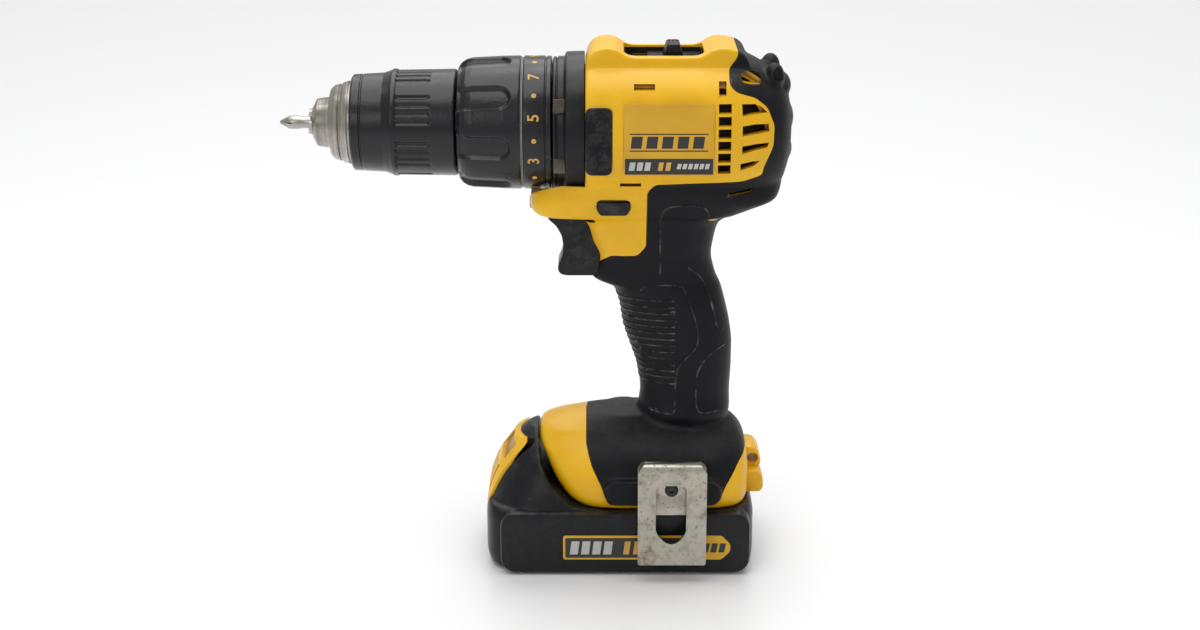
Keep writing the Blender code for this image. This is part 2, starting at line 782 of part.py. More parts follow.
def add_spindle():
    front = -0.0875
    shaft = turned(
        "output_spindle",
        [
            (front, 0.0030),
            (front, SHAFT_RADIUS),
            (FRONT_CARRIER_X, SHAFT_RADIUS),
            (FRONT_CARRIER_X, CARRIER_RADIUS),
            (FRONT_CARRIER_X + CARRIER_PLATE, CARRIER_RADIUS),
            (FRONT_CARRIER_X + CARRIER_PLATE, 0.0),
            (front + 0.0120, 0.0),
            (front + 0.0120, 0.0030),
        ],
        PARTS,
        24,
    )
    pins = carrier_pins("front_pin", FRONT_CARRIER_X + 0.0010, FRONT_STAGE_X + STAGE_WIDTH + 0.0004)
    finish(join(bake(shaft), *pins), STEEL, 0.3, 1.0)
    screw = turned(
        "chuck_screw",
        [
            (front - 0.0040, 0.0),
            (front - 0.0040, 0.0050),
            (front - 0.0010, 0.0050),
            (front - 0.0010, 0.0026),
            (front + 0.0110, 0.0026),
            (front + 0.0110, 0.0),
        ],
        PARTS,
        16,
    )
    finish(screw, DARK_STEEL, 0.4, 1.0)


# ---- motor --------------------------------------------------------------------------------
def add_motor():
    can = turned(
        "motor_can",
        [
            (MOTOR_X, MOTOR_RADIUS),
            (MOTOR_REAR_X, MOTOR_RADIUS),
            (MOTOR_REAR_X, MOTOR_RADIUS - MOTOR_WALL),
            (MOTOR_X + MOTOR_WALL, MOTOR_RADIUS - MOTOR_WALL),
            (MOTOR_X + MOTOR_WALL, MOTOR_SHAFT + 0.0012),
            (MOTOR_X, MOTOR_SHAFT + 0.0012),
        ],
        PARTS,
        28,
    )
    finish(can, STEEL, 0.35, 1.0)
    core = MOTOR_RADIUS - MOTOR_WALL - 0.0045
    commutator = 0.0055
    shaft_front = REAR_STAGE_X - 0.0002
    armature = turned(
        "armature",
        [
            (shaft_front, 0.0),
            (shaft_front, MOTOR_SHAFT),
            (MOTOR_X + 0.0050, MOTOR_SHAFT),
            (MOTOR_X + 0.0050, core),
            (MOTOR_X + 0.0240, core),
            (MOTOR_X + 0.0240, commutator),
            (MOTOR_X + 0.0320, commutator),
            (MOTOR_X + 0.0320, MOTOR_SHAFT),
            (FAN_X + 0.0078, MOTOR_SHAFT),
            (FAN_X + 0.0078, 0.0),
        ],
        PARTS,
        20,
    )
    finish(armature, DARK_STEEL, 0.4, 1.0)
    pinion = sun_gear("motor_pinion", REAR_STAGE_X, REAR_STAGE_X + STAGE_WIDTH, MOTOR_SHAFT + GAP, PARTS)
    finish(pinion, STEEL, 0.35, 1.0)
    front_x, bore = MOTOR_REAR_X + GAP, MOTOR_SHAFT + 0.0008
    endbell = tube("brush_endbell", front_x, ENDBELL_REAR_X, MOTOR_RADIUS, bore, PARTS, 28)
    finish(endbell, BLACK, 0.5)
    for number, side in enumerate((-1, 1), 1):
        near, far = side * (commutator + GAP), side * (MOTOR_RADIUS - MOTOR_WALL - GAP)
        brush = block(
            f"brush_{number}",
            (MOTOR_X + 0.0255, min(near, far), SPINDLE_Z - 0.0020),
            (MOTOR_X + 0.0305, max(near, far), SPINDLE_Z + 0.0020),
            PARTS,
        )
        finish(brush, (0.05, 0.045, 0.04), 0.6)
    add_fan()


def add_fan():
    fan = turned(
        "motor_fan",
        [
            (FAN_X, MOTOR_SHAFT + GAP + 0.0030),
            (FAN_X, FAN_RADIUS),
            (FAN_X + 0.0015, FAN_RADIUS),
            (FAN_X + 0.0015, MOTOR_SHAFT + GAP + 0.0030),
            (FAN_X + 0.0075, MOTOR_SHAFT + GAP + 0.0024),
            (FAN_X + 0.0075, MOTOR_SHAFT + GAP),
            (FAN_X, MOTOR_SHAFT + GAP),
        ],
        PARTS,
        20,
    )
    fan = bake(fan)
    blades = 9
    for index in range(blades):
        near = (FAN_X + 0.0010, -0.0006, MOTOR_SHAFT + 0.0030)
        far = (FAN_X + 0.0070, 0.0006, FAN_RADIUS - 0.0008)
        blade = block(f"blade_{index}", near, far)
        blade.rotation_euler = (2 * math.pi * (index + 0.5) / blades, 0.0, 0.0)
        blade.location.z = SPINDLE_Z
        fan = join(fan, bake(blade))
    finish(fan, BLACK, 0.5)


# ---- housing ------------------------------------------------------------------------------
def barrel_sections():
    """Sections along X: station, bottom, top, half width, power and pull."""
    z, w = SPINDLE_Z, BARREL_HALF_WIDTH
    return [
        (HOUSING_FRONT_X, z - 0.0305, z + 0.0298, w - 0.0006, 2.35, -1),
        (HOUSING_FRONT_X + 0.0060, z - 0.0310, z + 0.0300, w, 2.6, 0),
        (0.0400, z - 0.0300, z + 0.0300, w, 2.6, 0),
        (0.0520, z - 0.0305, z + 0.0302, w - 0.0012, 2.5, 0.2),
        (0.0620, z - 0.0300, z + 0.0262, w - 0.0048, 2.4, 0.55),
        (0.0690, z - 0.0270, z + 0.0220, w - 0.0095, 2.3, 0.8),
        (0.0735, z - 0.0160, z + 0.0120, w - 0.0165, 2.2, 1),
        (0.0745, z - 0.0080, z + 0.0060, w - 0.0225, 2.2, 1),
    ]


def handle_sections():
    """Sections up the handle: height above the foot, front, back, half width, power and pull."""
    w = HANDLE_HALF_WIDTH
    rows = [
        (-0.0060, 0.0085, 0.0478, w, 2.3, 0),
        (0.0000, 0.0075, 0.0492, w + 0.0015, 2.3, 0),
        (0.0070, 0.0083, 0.0490, w - 0.0005, 2.4, 0),
        (0.0190, 0.0071, 0.0495, w - 0.0003, 2.4, 0),
        (0.0300, 0.0036, 0.0496, w, 2.4, 0),
        (0.0400, 0.0004, 0.0484, w, 2.4, 0),
        (0.0490, -0.0010, 0.0464, w, 2.4, 0),
        (0.0575, -0.0046, 0.0440, w - 0.0005, 2.4, 0),
        (0.0622, -0.0140, 0.0418, w - 0.0007, 2.5, 0),
        (0.0725, -0.0118, 0.0396, w - 0.0005, 2.6, 0),
        (0.0795, -0.0145, 0.0406, w + 0.0005, 2.7, 0),
        (0.0866, -0.0225, 0.0440, w + 0.0025, 2.8, 0),
        (0.0875, -0.0345, 0.0446, w + 0.0030, 2.8, 0),
        (0.0910, -0.0398, 0.0500, w + 0.0040, 2.9, 0),
        (0.0960, -0.0406, 0.0610, w + 0.0058, 3.0, 0),
        (0.1002, -0.0406, 0.0680, w + 0.0070, 3.0, 0),
        (0.1072, -0.0402, 0.0700, w + 0.0075, 3.0, 0),
        (0.1110, -0.0150, 0.0690, w + 0.0075, 3.0, 0),
    ]
    return [(handle_height(h), *rest) for h, *rest in rows]


def handle_height(offset):
    """A height above the foot's top, drawn for a collar 101.9 mm above it and scaled to the real one."""
    drawn_rise = 0.1019
    return FOOT_TOP_Z + offset * (SPINDLE_Z - COLLAR_RADIUS - FOOT_TOP_Z) / drawn_rise


def foot_sections():
    """Sections up the foot: height, front, back, half width, power and pull."""
    b, w = FOOT_BASE_Z, FOOT_HALF_WIDTH
    return [
        (b, -0.0215, 0.0560, w - 0.0012, 5.0, -1),
        (b + 0.0040, -0.0262, 0.0572, w, 5.0, 0),
        (b + 0.0130, -0.0318, 0.0575, w, 4.6, 0),
        (b + 0.0210, -0.0352, 0.0568, w - 0.0008, 4.2, 0),
        (b + 0.0260, -0.0378, 0.0555, w - 0.0028, 3.8, 0.2),
        (b + 0.0310, -0.0372, 0.0528, w - 0.0062, 3.5, 0.5),
        (b + 0.0355, -0.0272, 0.0498, w - 0.0115, 3.2, 0.8),
        (FOOT_TOP_Z + 0.0003, -0.0140, 0.0460, w - 0.0165, 3.0, 1),
    ]


def rail_outline(inset):
    """The raised top of the housing from the side, with a hump at each end."""
    z = SPINDLE_Z
    front = HOUSING_FRONT_X + GAP
    return [
        (front + inset, z + 0.0200),
        (front + inset, z + 0.0310 - inset),
        (HOUSING_FRONT_X + 0.0052, z + 0.0359 - inset),
        (-0.0035, z + 0.0359 - inset),
        (0.0017, z + 0.0318 - inset),
        (0.0334, z + 0.0318 - inset),
        (0.0385, z + 0.0359 - inset),
        (0.0470, z + 0.0356 - inset),
        (0.0529 - inset, z + 0.0330 - inset),
        (0.0560 - inset, z + 0.0200),
    ]


def body_form(name, inset):
    """The housing's outer form, drawn in by an inset on every side."""
    form = loft(name, barrel_sections(), False, inset, 16)
    handle = loft(name + "_handle", handle_sections(), True, inset, 12)
    foot = loft(name + "_foot", foot_sections(), True, inset, 16)
    rails = slab(name + "_rails", [rail_outline(inset)], inset - RAIL_HALF_WIDTH, RAIL_HALF_WIDTH - inset)
    return join(form, handle, foot, rails, solver=CLOSED)


def grip_outline():
    """Side view of the moulded-on grip: bumper behind, handle below, saddle over the foot."""
    z = SPINDLE_Z
    return [
        (0.0490, z + 0.0400),
        (0.0490, z + 0.0320),
        (0.0452, z + 0.0270),
        (0.0452, z + 0.0215),
        (0.0480, z + 0.0188),
        (0.0560, z + 0.0165),
        (0.0615, z + 0.0120),
        (0.0648, z + 0.0040),
        (0.0645, z - 0.0050),
        (0.0605, z - 0.0140),
        (0.0600, z - 0.0180),
        (0.0510, z - 0.0208),
        (0.0140, z - 0.0222),
        (0.0106, z - 0.0255),
        (0.0104, handle_height(0.0790)),
        (0.0065, handle_height(0.0745)),
        (-0.0048, handle_height(0.0738)),
        (-0.0100, handle_height(0.0700)),
        (-0.0128, handle_height(0.0655)),
        (-0.0155, handle_height(0.0632)),
        (-0.0155, handle_height(0.0590)),
        (-0.0400, handle_height(0.0300)),
        (-0.0160, FOOT_TOP_Z + 0.0060),
        (-0.0160, FOOT_BASE_Z + 0.0285),
        (-0.0135, FOOT_BASE_Z + 0.0205),
        (-0.0080, FOOT_BASE_Z + 0.0110),
        (-0.0045, FOOT_BASE_Z + 0.0050),
        (0.0385, FOOT_BASE_Z + 0.0050),
        (0.0440, FOOT_BASE_Z + 0.0105),
        (0.0520, FOOT_BASE_Z + 0.0200),
        (0.0600, FOOT_BASE_Z + 0.0262),
        (0.0900, FOOT_BASE_Z + 0.0262),
        (0.0900, z + 0.0400),
    ]


def vent_cutters():
    """Six stacked slots ahead of a pillar, four wide slots behind it, and three single slots a side."""
    z = SPINDLE_Z
    cutters = []
    half = BARREL_HALF_WIDTH + 0.005
    for row in range(6):
        low = z - 0.0163 + row * 0.00528
        cutters.append(block(f"vent_slot_{row}", (0.0403, -half, low), (0.0458, half, low + 0.0040)))
    wide = (
        (-0.0150, -0.0118, 0.0570),
        (-0.0072, -0.0034, 0.0610),
        (0.0012, 0.0050, 0.0610),
        (0.0096, 0.0134, 0.0570),
    )
    for row, (low, high, rear) in enumerate(wide):
        cutters.append(block(f"wide_vent_{row}", (0.0494, -half, z + low), (rear, half, z + high)))
    singles = (
        (0.0044, 0.0133, 0.0193, 0.0219),
        (0.0404, 0.0438, 0.0171, 0.0226),
        (-0.0014, 0.0077, -0.0228, -0.0208),
    )
    for row, (front, rear, low, high) in enumerate(singles):
        cutters.append(block(f"single_slot_{row}", (front, -half, z + low), (rear, half, z + high)))
    return cutters


def pad_outline(inset=0.0):
    z = SPINDLE_Z
    low, high = (HOUSING_FRONT_X + 0.0004 + inset, z - 0.0165 + inset), (-0.0049 - inset, z + 0.0128 - inset)
    points = rounded(low, high, 0.0030)
    return [(x, zz) if x > -0.0100 else (low[0], zz) for x, zz in points]


def label_outline(inset=0.0):
    z = SPINDLE_Z
    return rounded((0.0001 + inset, z - 0.0163 + inset), (0.0380 - inset, z + 0.0147 - inset), 0.0008, 1)


def trigger_outline():
    top = handle_height(TRIGGER_TOP)
    low = handle_height(TRIGGER_LOW)
    return [
        (TRIGGER_REAR_X, top),
        (-0.0336, top),
        (-0.0292, handle_height(0.0856)),
        (-0.0265, handle_height(0.0796)),
        (-0.0268, handle_height(0.0726)),
        (-0.0288, handle_height(0.0670)),
        (-0.0280, low + 0.0006),
        (-0.0262, low),
        (TRIGGER_REAR_X, low),
    ]


def housing_cutters():
    """What is cut through the housing's shells: room for the pieces inside and the pocket on top."""
    neck_hole = rod(
        "neck_hole",
        (HOUSING_FRONT_X - 0.001, 0, SPINDLE_Z),
        (0.004, 0, SPINDLE_Z),
        NECK_RADIUS + GAP,
        sides=TURN_STEPS,
    )
    collar_room = rod(
        "collar_room",
        (-0.0600, 0, SPINDLE_Z),
        (HOUSING_FRONT_X, 0, SPINDLE_Z),
        max(CASE_RADIUS, COLLAR_RADIUS) + 0.0006,
        sides=TURN_STEPS,
    )
    chin_top = block(
        "chin_top",
        (-0.0600, -0.05, SPINDLE_Z - 0.0235),
        (HOUSING_FRONT_X, 0.05, SPINDLE_Z + 0.03),
    )
    pocket = block(
        "selector_pocket",
        (POCKET_X[0], -POCKET_HALF_WIDTH, SPINDLE_Z + POCKET_FLOOR_Z),
        (POCKET_X[1], POCKET_HALF_WIDTH, SPINDLE_Z + 0.04),
    )
    lever_slot = block(
        "lever_slot",
        (REAR_STAGE_X - SHIFT_TRAVEL - 0.0030, -0.0036, SPINDLE_Z + 0.02),
        (REAR_STAGE_X + 0.0060, 0.0036, SPINDLE_Z + 0.035),
    )
    button = slab("button_hole", [button_outline(SLIP)], -0.05, 0.05)
    channel = block(
        "pack_channel",
        (-0.0600, -TOWER_HALF_WIDTH - 0.0010, FOOT_BASE_Z - 0.002),
        (TOWER_X[1] + 0.0010, TOWER_HALF_WIDTH + 0.0010, TOWER_TOP_Z + 0.0008),
    )
    height = handle_height(LED_HEIGHT)
    led_hole = rod("led_hole", (-0.0440, 0, height), (-0.0340, 0, height), LED_RADIUS + GAP, sides=16)
    return [neck_hole, collar_room, chin_top, pocket, lever_slot, button, channel, led_hole]


def shared_cutters():
    """What is cut through the shells and the grip alike: the trigger's mouth and the clip screws' threads."""
    mouth = block(
        "trigger_mouth",
        (-0.0360, -TRIGGER_HALF_WIDTH - SLIP, handle_height(TRIGGER_LOW) - 0.0005),
        (0.0060, TRIGGER_HALF_WIDTH + SLIP, handle_height(TRIGGER_TOP) + 0.0005),
    )
    threads = []
    for side in (-1, 1):
        inner = (CLIP_SCREW_X, side * (FOOT_HALF_WIDTH - 0.0013), CLIP_SCREW_Z)
        outer = (CLIP_SCREW_X, side * (FOOT_HALF_WIDTH + 0.0065), CLIP_SCREW_Z)
        threads.append(rod(f"clip_thread_{side}", inner, outer, CLIP_SHANK_RADIUS + GAP, sides=12))
    return [mouth, *threads]


def screw_cutters():
    """The screws' bores: a blind hole in the left half, and a wide bore in from the right side."""
    bores = []
    for number, (x, offset) in enumerate(SCREW_PLACES):
        z = handle_height(offset)
        bores.append(rod(f"pilot_{number}", (x, -0.0083, z), (x, 0.0070, z), SCREW_SHANK + GAP, sides=10))
        seat = (x, SCREW_SEAT_Y - GAP, z)
        bores.append(rod(f"counterbore_{number}", seat, (x, 0.05, z), SCREW_HEAD + GAP, sides=12))
    return bores


def stiffeners():
    """The screws' bosses and the two ribs that hold the motor, drawn inside the outer form."""
    inside = body_form("rib_form", WALL / 2)
    made = []
    for number, (x, offset) in enumerate(SCREW_PLACES):
        z = handle_height(offset)
        boss = rod(f"screw_boss_{number}", (x, -0.05, z), (x, 0.05, z), SCREW_BOSS, sides=12)
        made.append(combine(boss, inside, "INTERSECT", CLOSED))
    for number, x in enumerate(RIB_X):
        rib = tube(f"rib_{number}", x, x + RIB_THICKNESS, BARREL_HALF_WIDTH + 0.0010, MOTOR_RADIUS + GAP)
        made.append(combine(bake(rib), inside, "INTERSECT", CLOSED))
    return made


def button_outline(grow=0.0):
    x_low, x_high = -0.0113 - grow, 0.0030 + grow
    low = handle_height(BUTTON_LOW)
    z_low, z_high = low - grow, low + BUTTON_HEIGHT + grow
    return [
        (x_low + 0.0014, z_low),
        (x_high - 0.0014, z_low),
        (x_high, z_low + 0.0030),
        (x_high - 0.0004, z_high - 0.0006),
        (x_high - 0.0016, z_high),
        (x_low + 0.0016, z_high),
        (x_low + 0.0004, z_high - 0.0006),
        (x_low, z_low + 0.0030),
    ]


def covered_form(name, inset):
    """The housing's form with the clip bosses, drawn in by an inset."""
    boss = rounded((BOSS_X[0] + inset, BOSS_Z[0]), (BOSS_X[1] - inset, BOSS_Z[1] - inset), 0.0058 - inset, 3)
    pad = slab(name + "_boss", [boss], BOSS_Y + inset, -BOSS_Y - inset)
    return join(body_form(name, inset), pad, solver=CLOSED)


def side_half(whole, name, side, group):
    """The half of a solid on one side of the plane Y = 0."""
    near, far = side * GAP / 2, side * 0.1
    keep = block(name + "_side", (-0.2, min(near, far), -0.1), (0.2, max(near, far), 0.4))
    return combine(copy_of(whole, name, group), keep, "INTERSECT", CLOSED)


def side_plate(name, outline, side, inner, thickness, colour, roughness):
    """A flat plate let into, or stuck on, one side of the barrel."""
    near, far = side * inner, side * (inner + thickness)
    plate = slab(name, [outline], min(near, far), max(near, far), PARTS)
    return finish(plate, colour, roughness)


def add_housing():
    outer = covered_form("outer_form", 0.0)
    grip = cut(copy_of(outer, "grip", CUTTERS), covered_form("under_skin", SKIN), solver=CLOSED)
    region = slab("grip_region", [grip_outline()], -0.06, 0.06)
    grip = combine(grip, region, "INTERSECT", CLOSED)
    recess = slab("grip_recess", [grown(grip_outline(), GAP)], -0.07, 0.07)
    recess = cut(recess, covered_form("deep_skin", SKIN + GAP), solver=CLOSED)
    shared = [*shared_cutters(), *screw_cutters(), *vent_cutters()]
    shell = cut(outer, body_form("cavity", WALL), solver=CLOSED)
    shell = join(shell, *stiffeners(), solver=CLOSED)
    shell = cut(shell, recess, *housing_cutters(), *shared, pad_recess(), solver=CLOSED)
    grip = cut(grip, *shared, solver=CLOSED)
    pad_inner = BARREL_HALF_WIDTH - PAD_DEPTH + GAP
    for side, word in ((-1, "left"), (1, "right")):
        finish(side_half(shell, f"{word}_shell", side, PARTS), YELLOW, 0.35)
        finish(side_half(grip, f"{word}_grip", side, PARTS), RUBBER, 0.6)
        pad_thickness = PAD_DEPTH - GAP / 2
        side_plate(f"{word}_side_pad", pad_outline(), side, pad_inner, pad_thickness, RUBBER, 0.5)
        label_inner = BARREL_HALF_WIDTH + GAP
        side_plate(f"{word}_label", label_outline(), side, label_inner, LABEL_THICKNESS, YELLOW, 0.45)


def pad_recess():
    """The shallow room for the two side pads."""
    pads = slab("pad_recess", [grown(pad_outline(), GAP)], -0.06, 0.06)
    reach = BARREL_HALF_WIDTH - PAD_DEPTH
    core = block("pad_core", (-0.05, -reach, 0.1), (0.05, reach, SPINDLE_Z + 0.1))
    return cut(pads, core)


def add_controls():
    trigger = slab("trigger", [trigger_outline()], -TRIGGER_HALF_WIDTH, TRIGGER_HALF_WIDTH, PARTS)
    finish(trigger, BLACK, 0.5)
    switch = block(
        "trigger_switch",
        (TRIGGER_REAR_X + TRIGGER_TRAVEL + SLIP, -0.0090, handle_height(TRIGGER_LOW - 0.0030)),
        (0.0260, 0.0090, handle_height(TRIGGER_TOP + 0.0010)),
        PARTS,
        0.0008,
    )
    finish(switch, BLACK, 0.5)
    reach = HANDLE_HALF_WIDTH + 0.0078
    button = slab("direction_button", [button_outline()], -reach, reach, PARTS)
    finish(button, BLACK, 0.5)
    height = handle_height(LED_HEIGHT)
    lens = rod("led_lens", (-0.0412, 0, height), (-0.0370, 0, height), LED_RADIUS, PARTS, 16)
    finish(lens, (0.8, 0.85, 0.9), 0.1)
    add_selector()
    add_terminals()


def add_selector():
    """The speed slider: a plate in the pocket with a tapered knob."""
    floor = SPINDLE_Z + POCKET_FLOOR_Z + GAP
    half = POCKET_HALF_WIDTH - SLIP
    rear = POCKET_X[1] - SLIP
    front = POCKET_X[0] + SELECTOR_TRAVEL + SLIP
    plate = block("speed_selector", (front, -half, floor), (rear, half, floor + 0.0015), PARTS)
    knob_low, knob_high = floor + 0.0010, SPINDLE_Z + 0.0357
    outline = [(0.0172, knob_low), (0.0262, knob_low), (0.0243, knob_high), (0.0190, knob_high)]
    knob = slab("knob", [outline], -0.0065, 0.0065)
    finish(join(plate, knob), BLACK, 0.45)
    low = SPINDLE_Z + RING_OUTER + GAP
    lever = block(
        "shift_lever",
        (REAR_STAGE_X + 0.0005, -0.0024, low),
        (REAR_STAGE_X + 0.0034, 0.0024, SPINDLE_Z + POCKET_FLOOR_Z - 0.0004),
        PARTS,
    )
    finish(lever, STEEL, 0.4, 1.0)


def blade_y(index):
    return BLADE_PITCH * (index - (BLADE_COUNT - 1) / 2)


def add_terminals():
    """The terminal block over the pack's channel, with four blades that reach down into the pack."""
    low = TOWER_TOP_Z + 0.0012
    holder = block("terminal_block", (0.0000, -0.0160, low), (0.0340, 0.0160, low + 0.0050), PARTS)
    for index in range(BLADE_COUNT):
        y = blade_y(index)
        near, far = (0.0100, y - BLADE_HALF_WIDTH, low - 0.0060), (0.0300, y + BLADE_HALF_WIDTH, low + 0.0010)
        holder = join(holder, block(f"tool_blade_{index}", near, far))
    finish(holder, BLACK, 0.5)


def add_housing_screws():
    """Three screws that draw the halves together, sunk in the right half."""
    for number, (x, offset) in enumerate(SCREW_PLACES, 1):
        name = f"housing_screw_{number}"
        z = handle_height(offset)
        shank = rod(name, (x, -0.0080, z), (x, SCREW_SEAT_Y + 0.0010, z), SCREW_SHANK, PARTS, 10)
        head = rod(name + "_head", (x, SCREW_SEAT_Y, z), (x, SCREW_SEAT_Y + 0.0025, z), SCREW_HEAD, sides=12)
        finish(join(shank, head), DARK_STEEL, 0.4, 1.0)


def clip_window(middle):
    """The clip's pointed window, as points in X and Z about its middle line."""
    right = [(0.0012, 0.0192), (0.0068, 0.0238), (0.0068, 0.0440), (0.0038, 0.0473)]
    left = [(-x, z) for x, z in reversed(right)]
    return [(middle + x, z) for x, z in right + left]


def clip_corners():
    """Cutters for the clip's two upper corners."""
    (x0, x1), top = CLIP_X, CLIP_Z[1]
    size, near, far = 0.0060, 0.001, 0.35
    trims = []
    for x, turn in ((x0, 1), (x1, -1)):
        outline = [
            (x - turn * near, top + near),
            (x + turn * size, top + near),
            (x + turn * size * far, top - size * far),
            (x - turn * near, top - size),
        ]
        trims.append(slab(f"clip_corner_{turn}", [outline], CLIP_PLATE_Y - 0.001, CLIP_LEAF_Y + 0.003))
    return trims


def add_belt_clip():
    """A bent steel strip: a wide hanging plate, a bend over the top, and a leaf screwed to the foot."""
    (x0, x1), (z0, z1) = CLIP_X, CLIP_Z
    plate_in = CLIP_PLATE_Y + CLIP_THICKNESS
    leaf_in = CLIP_LEAF_Y + CLIP_THICKNESS
    corner = 0.0006
    plate = slab("belt_clip", [rounded((x0, z0), (x1, z1), corner, 1)], CLIP_PLATE_Y, plate_in, PARTS)
    leaf = slab("leaf", [rounded((x0, 0.0312), (x1, z1), corner, 1)], CLIP_LEAF_Y, leaf_in)
    bridge = block("bend", (x0, CLIP_PLATE_Y, z1 - CLIP_THICKNESS), (x1, leaf_in, z1))
    clip = join(plate, leaf, bridge)
    opening = slab("clip_window", [clip_window((x0 + x1) / 2)], CLIP_PLATE_Y - 0.001, plate_in + 0.001)
    place = (CLIP_SCREW_X, CLIP_SCREW_Z)
    bore = CLIP_SHANK_RADIUS + GAP
    hole = rod_across("clip_hole", place, CLIP_LEAF_Y - 0.003, leaf_in + 0.006, bore, sides=14)
    finish(cut(clip, opening, hole, *clip_corners()), STEEL, 0.35, 1.0)
    head_y = CLIP_LEAF_Y - GAP
    head = rod_across("belt_clip_screw", place, head_y - 0.0020, head_y, SCREW_RADIUS, PARTS, 16)
    shank_end = 0.0005 - FOOT_HALF_WIDTH
    shank = rod_across("clip_shank", place, head_y - 0.0010, shank_end, CLIP_SHANK_RADIUS, sides=12)
    finish(join(head, shank), DARK_STEEL, 0.4, 1.0)


def add_bit_holder():
    """The loop and block that stand out behind the foot and hold a spare bit."""
    x0 = 0.0577
    outline = [
        (x0, 0.0300),
        (0.0630, 0.0305),
        (0.0650, 0.0330),
        (0.0646, 0.0375),
        (0.0625, 0.0420),
        (0.0605, 0.0475),
        (x0, 0.0490),
    ]
    holder = slab("bit_holder", [outline], -0.0120, 0.0120, PARTS)
    groove = rod("bit_groove", (0.0680, 0, 0.0440), (0.0560, 0, 0.0440), 0.0034, sides=12)
    finish(cut(holder, groove), YELLOW, 0.35)


# ---- battery pack -------------------------------------------------------------------------
def pack_sections():
    x0, x1 = PACK_X
    w = PACK_HALF_WIDTH
    return [
        (0.0000, x0 + 0.0050, x1 - 0.0030, w - 0.0040, 6.0, -1),
        (0.0020, x0 + 0.0012, x1 - 0.0004, w - 0.0008, 6.0, 0),
        (0.0080, x0, x1, w, 6.0, 0),
        (0.0240, x0, x1, w, 6.0, 0),
        (0.0280, x0 + 0.0006, x1 - 0.0010, w - 0.0008, 6.0, 0),
        (PACK_TOP_Z, x0 + 0.0010, x1 - 0.0030, w - 0.0030, 6.0, 1),
    ]


def head_sections():
    """The sloping front of the pack, which rises ahead of the tool's foot."""
    x0 = PACK_X[0]
    w = PACK_HALF_WIDTH
    return [
        (0.0200, x0, -0.0150, w - 0.0004, 5.0, 0),
        (0.0272, x0 + 0.0004, -0.0190, w - 0.0014, 5.0, 0),
        (0.0340, x0 + 0.0022, -0.0255, w - 0.0030, 4.6, 0),
        (0.0420, x0 + 0.0050, -0.0312, w - 0.0046, 4.2, 0),
        (0.0500, x0 + 0.0095, -0.0345, w - 0.0074, 3.8, 0),
        (0.0560, x0 + 0.0140, -0.0370, w - 0.0105, 3.4, 0),
        (0.0605, x0 + 0.0190, -0.0375, w - 0.0140, 3.2, 0),
    ]


def latch_outline(grow=0.0):
    """Side view of the latch button, following the slope of the pack's front."""
    slope = [(-0.0600, 0.0262), (-0.0586, 0.0340), (-0.0558, 0.0420), (-0.0513, 0.0500), (-0.0462, 0.0566)]
    front = [(x - 0.0018 - grow * 4, z) for x, z in slope]
    rear = [(x + 0.0035 + grow, z) for x, z in reversed(slope)]
    points = front + rear
    low, high = min(z for _, z in points), max(z for _, z in points)
    return [(x, z - grow if z == low else z + grow if z == high else z) for x, z in points]


def pack_form():
    """The pack's outer form: tray, side panels, sloping head and the rails' tower."""
    tray = loft("tray", pack_sections(), True, 0.0, 28)
    outline = rounded((PANEL_X[0], 0.0010), (PANEL_X[1], PACK_TOP_Z), 0.0070, 4)
    panel = slab("panel", [outline], -PANEL_HALF_WIDTH, PANEL_HALF_WIDTH)
    head = loft("head", head_sections(), True, 0.0, 18)
    head = cut(head, body_form("foot_room", -GAP), solver=CLOSED)
    tower = block(
        "tower",
        (TOWER_X[0], -TOWER_HALF_WIDTH, PACK_TOP_Z - 0.0050),
        (TOWER_X[1], TOWER_HALF_WIDTH, TOWER_TOP_Z),
        bevel=0.0010,
    )
    return join(tray, panel, head, tower, solver=CLOSED)


def pack_cutters():
    """Room in the pack for the cells, the tool's blades, and the latch with its spring."""
    room_x = (PACK_X[0] + PACK_WALL, PACK_X[1] - PACK_WALL)
    room_y = PACK_HALF_WIDTH - PACK_WALL
    sections = [(z, *room_x, room_y, 8.0, 0) for z in (PACK_WALL, PACK_TOP_Z - PACK_WALL)]
    cutters = [loft("cell_room", sections, True, 0.0, 20)]
    for shift in (0.0, LATCH_TRAVEL):
        reach = LATCH_HALF_WIDTH + SLIP
        room = slab("latch_room", [latch_outline(SLIP)], -reach, reach)
        room.location.x = shift
        cutters.append(bake(room))
    start = (LATCH_SPRING_X[0] - 0.0035, 0, LATCH_SPRING_Z)
    end = (LATCH_SPRING_X[1] + 0.0008, 0, LATCH_SPRING_Z)
    cutters.append(rod("spring_room", start, end, LATCH_SPRING_RADIUS + 0.0009, sides=16))
    for index in range(BLADE_COUNT):
        y, half = blade_y(index), BLADE_HALF_WIDTH + 0.0005
        cutters.append(block(f"pack_slot_{index}", (0.0060, y - half, 0.0345), (0.0700, y + half, 0.0500)))
    return cutters


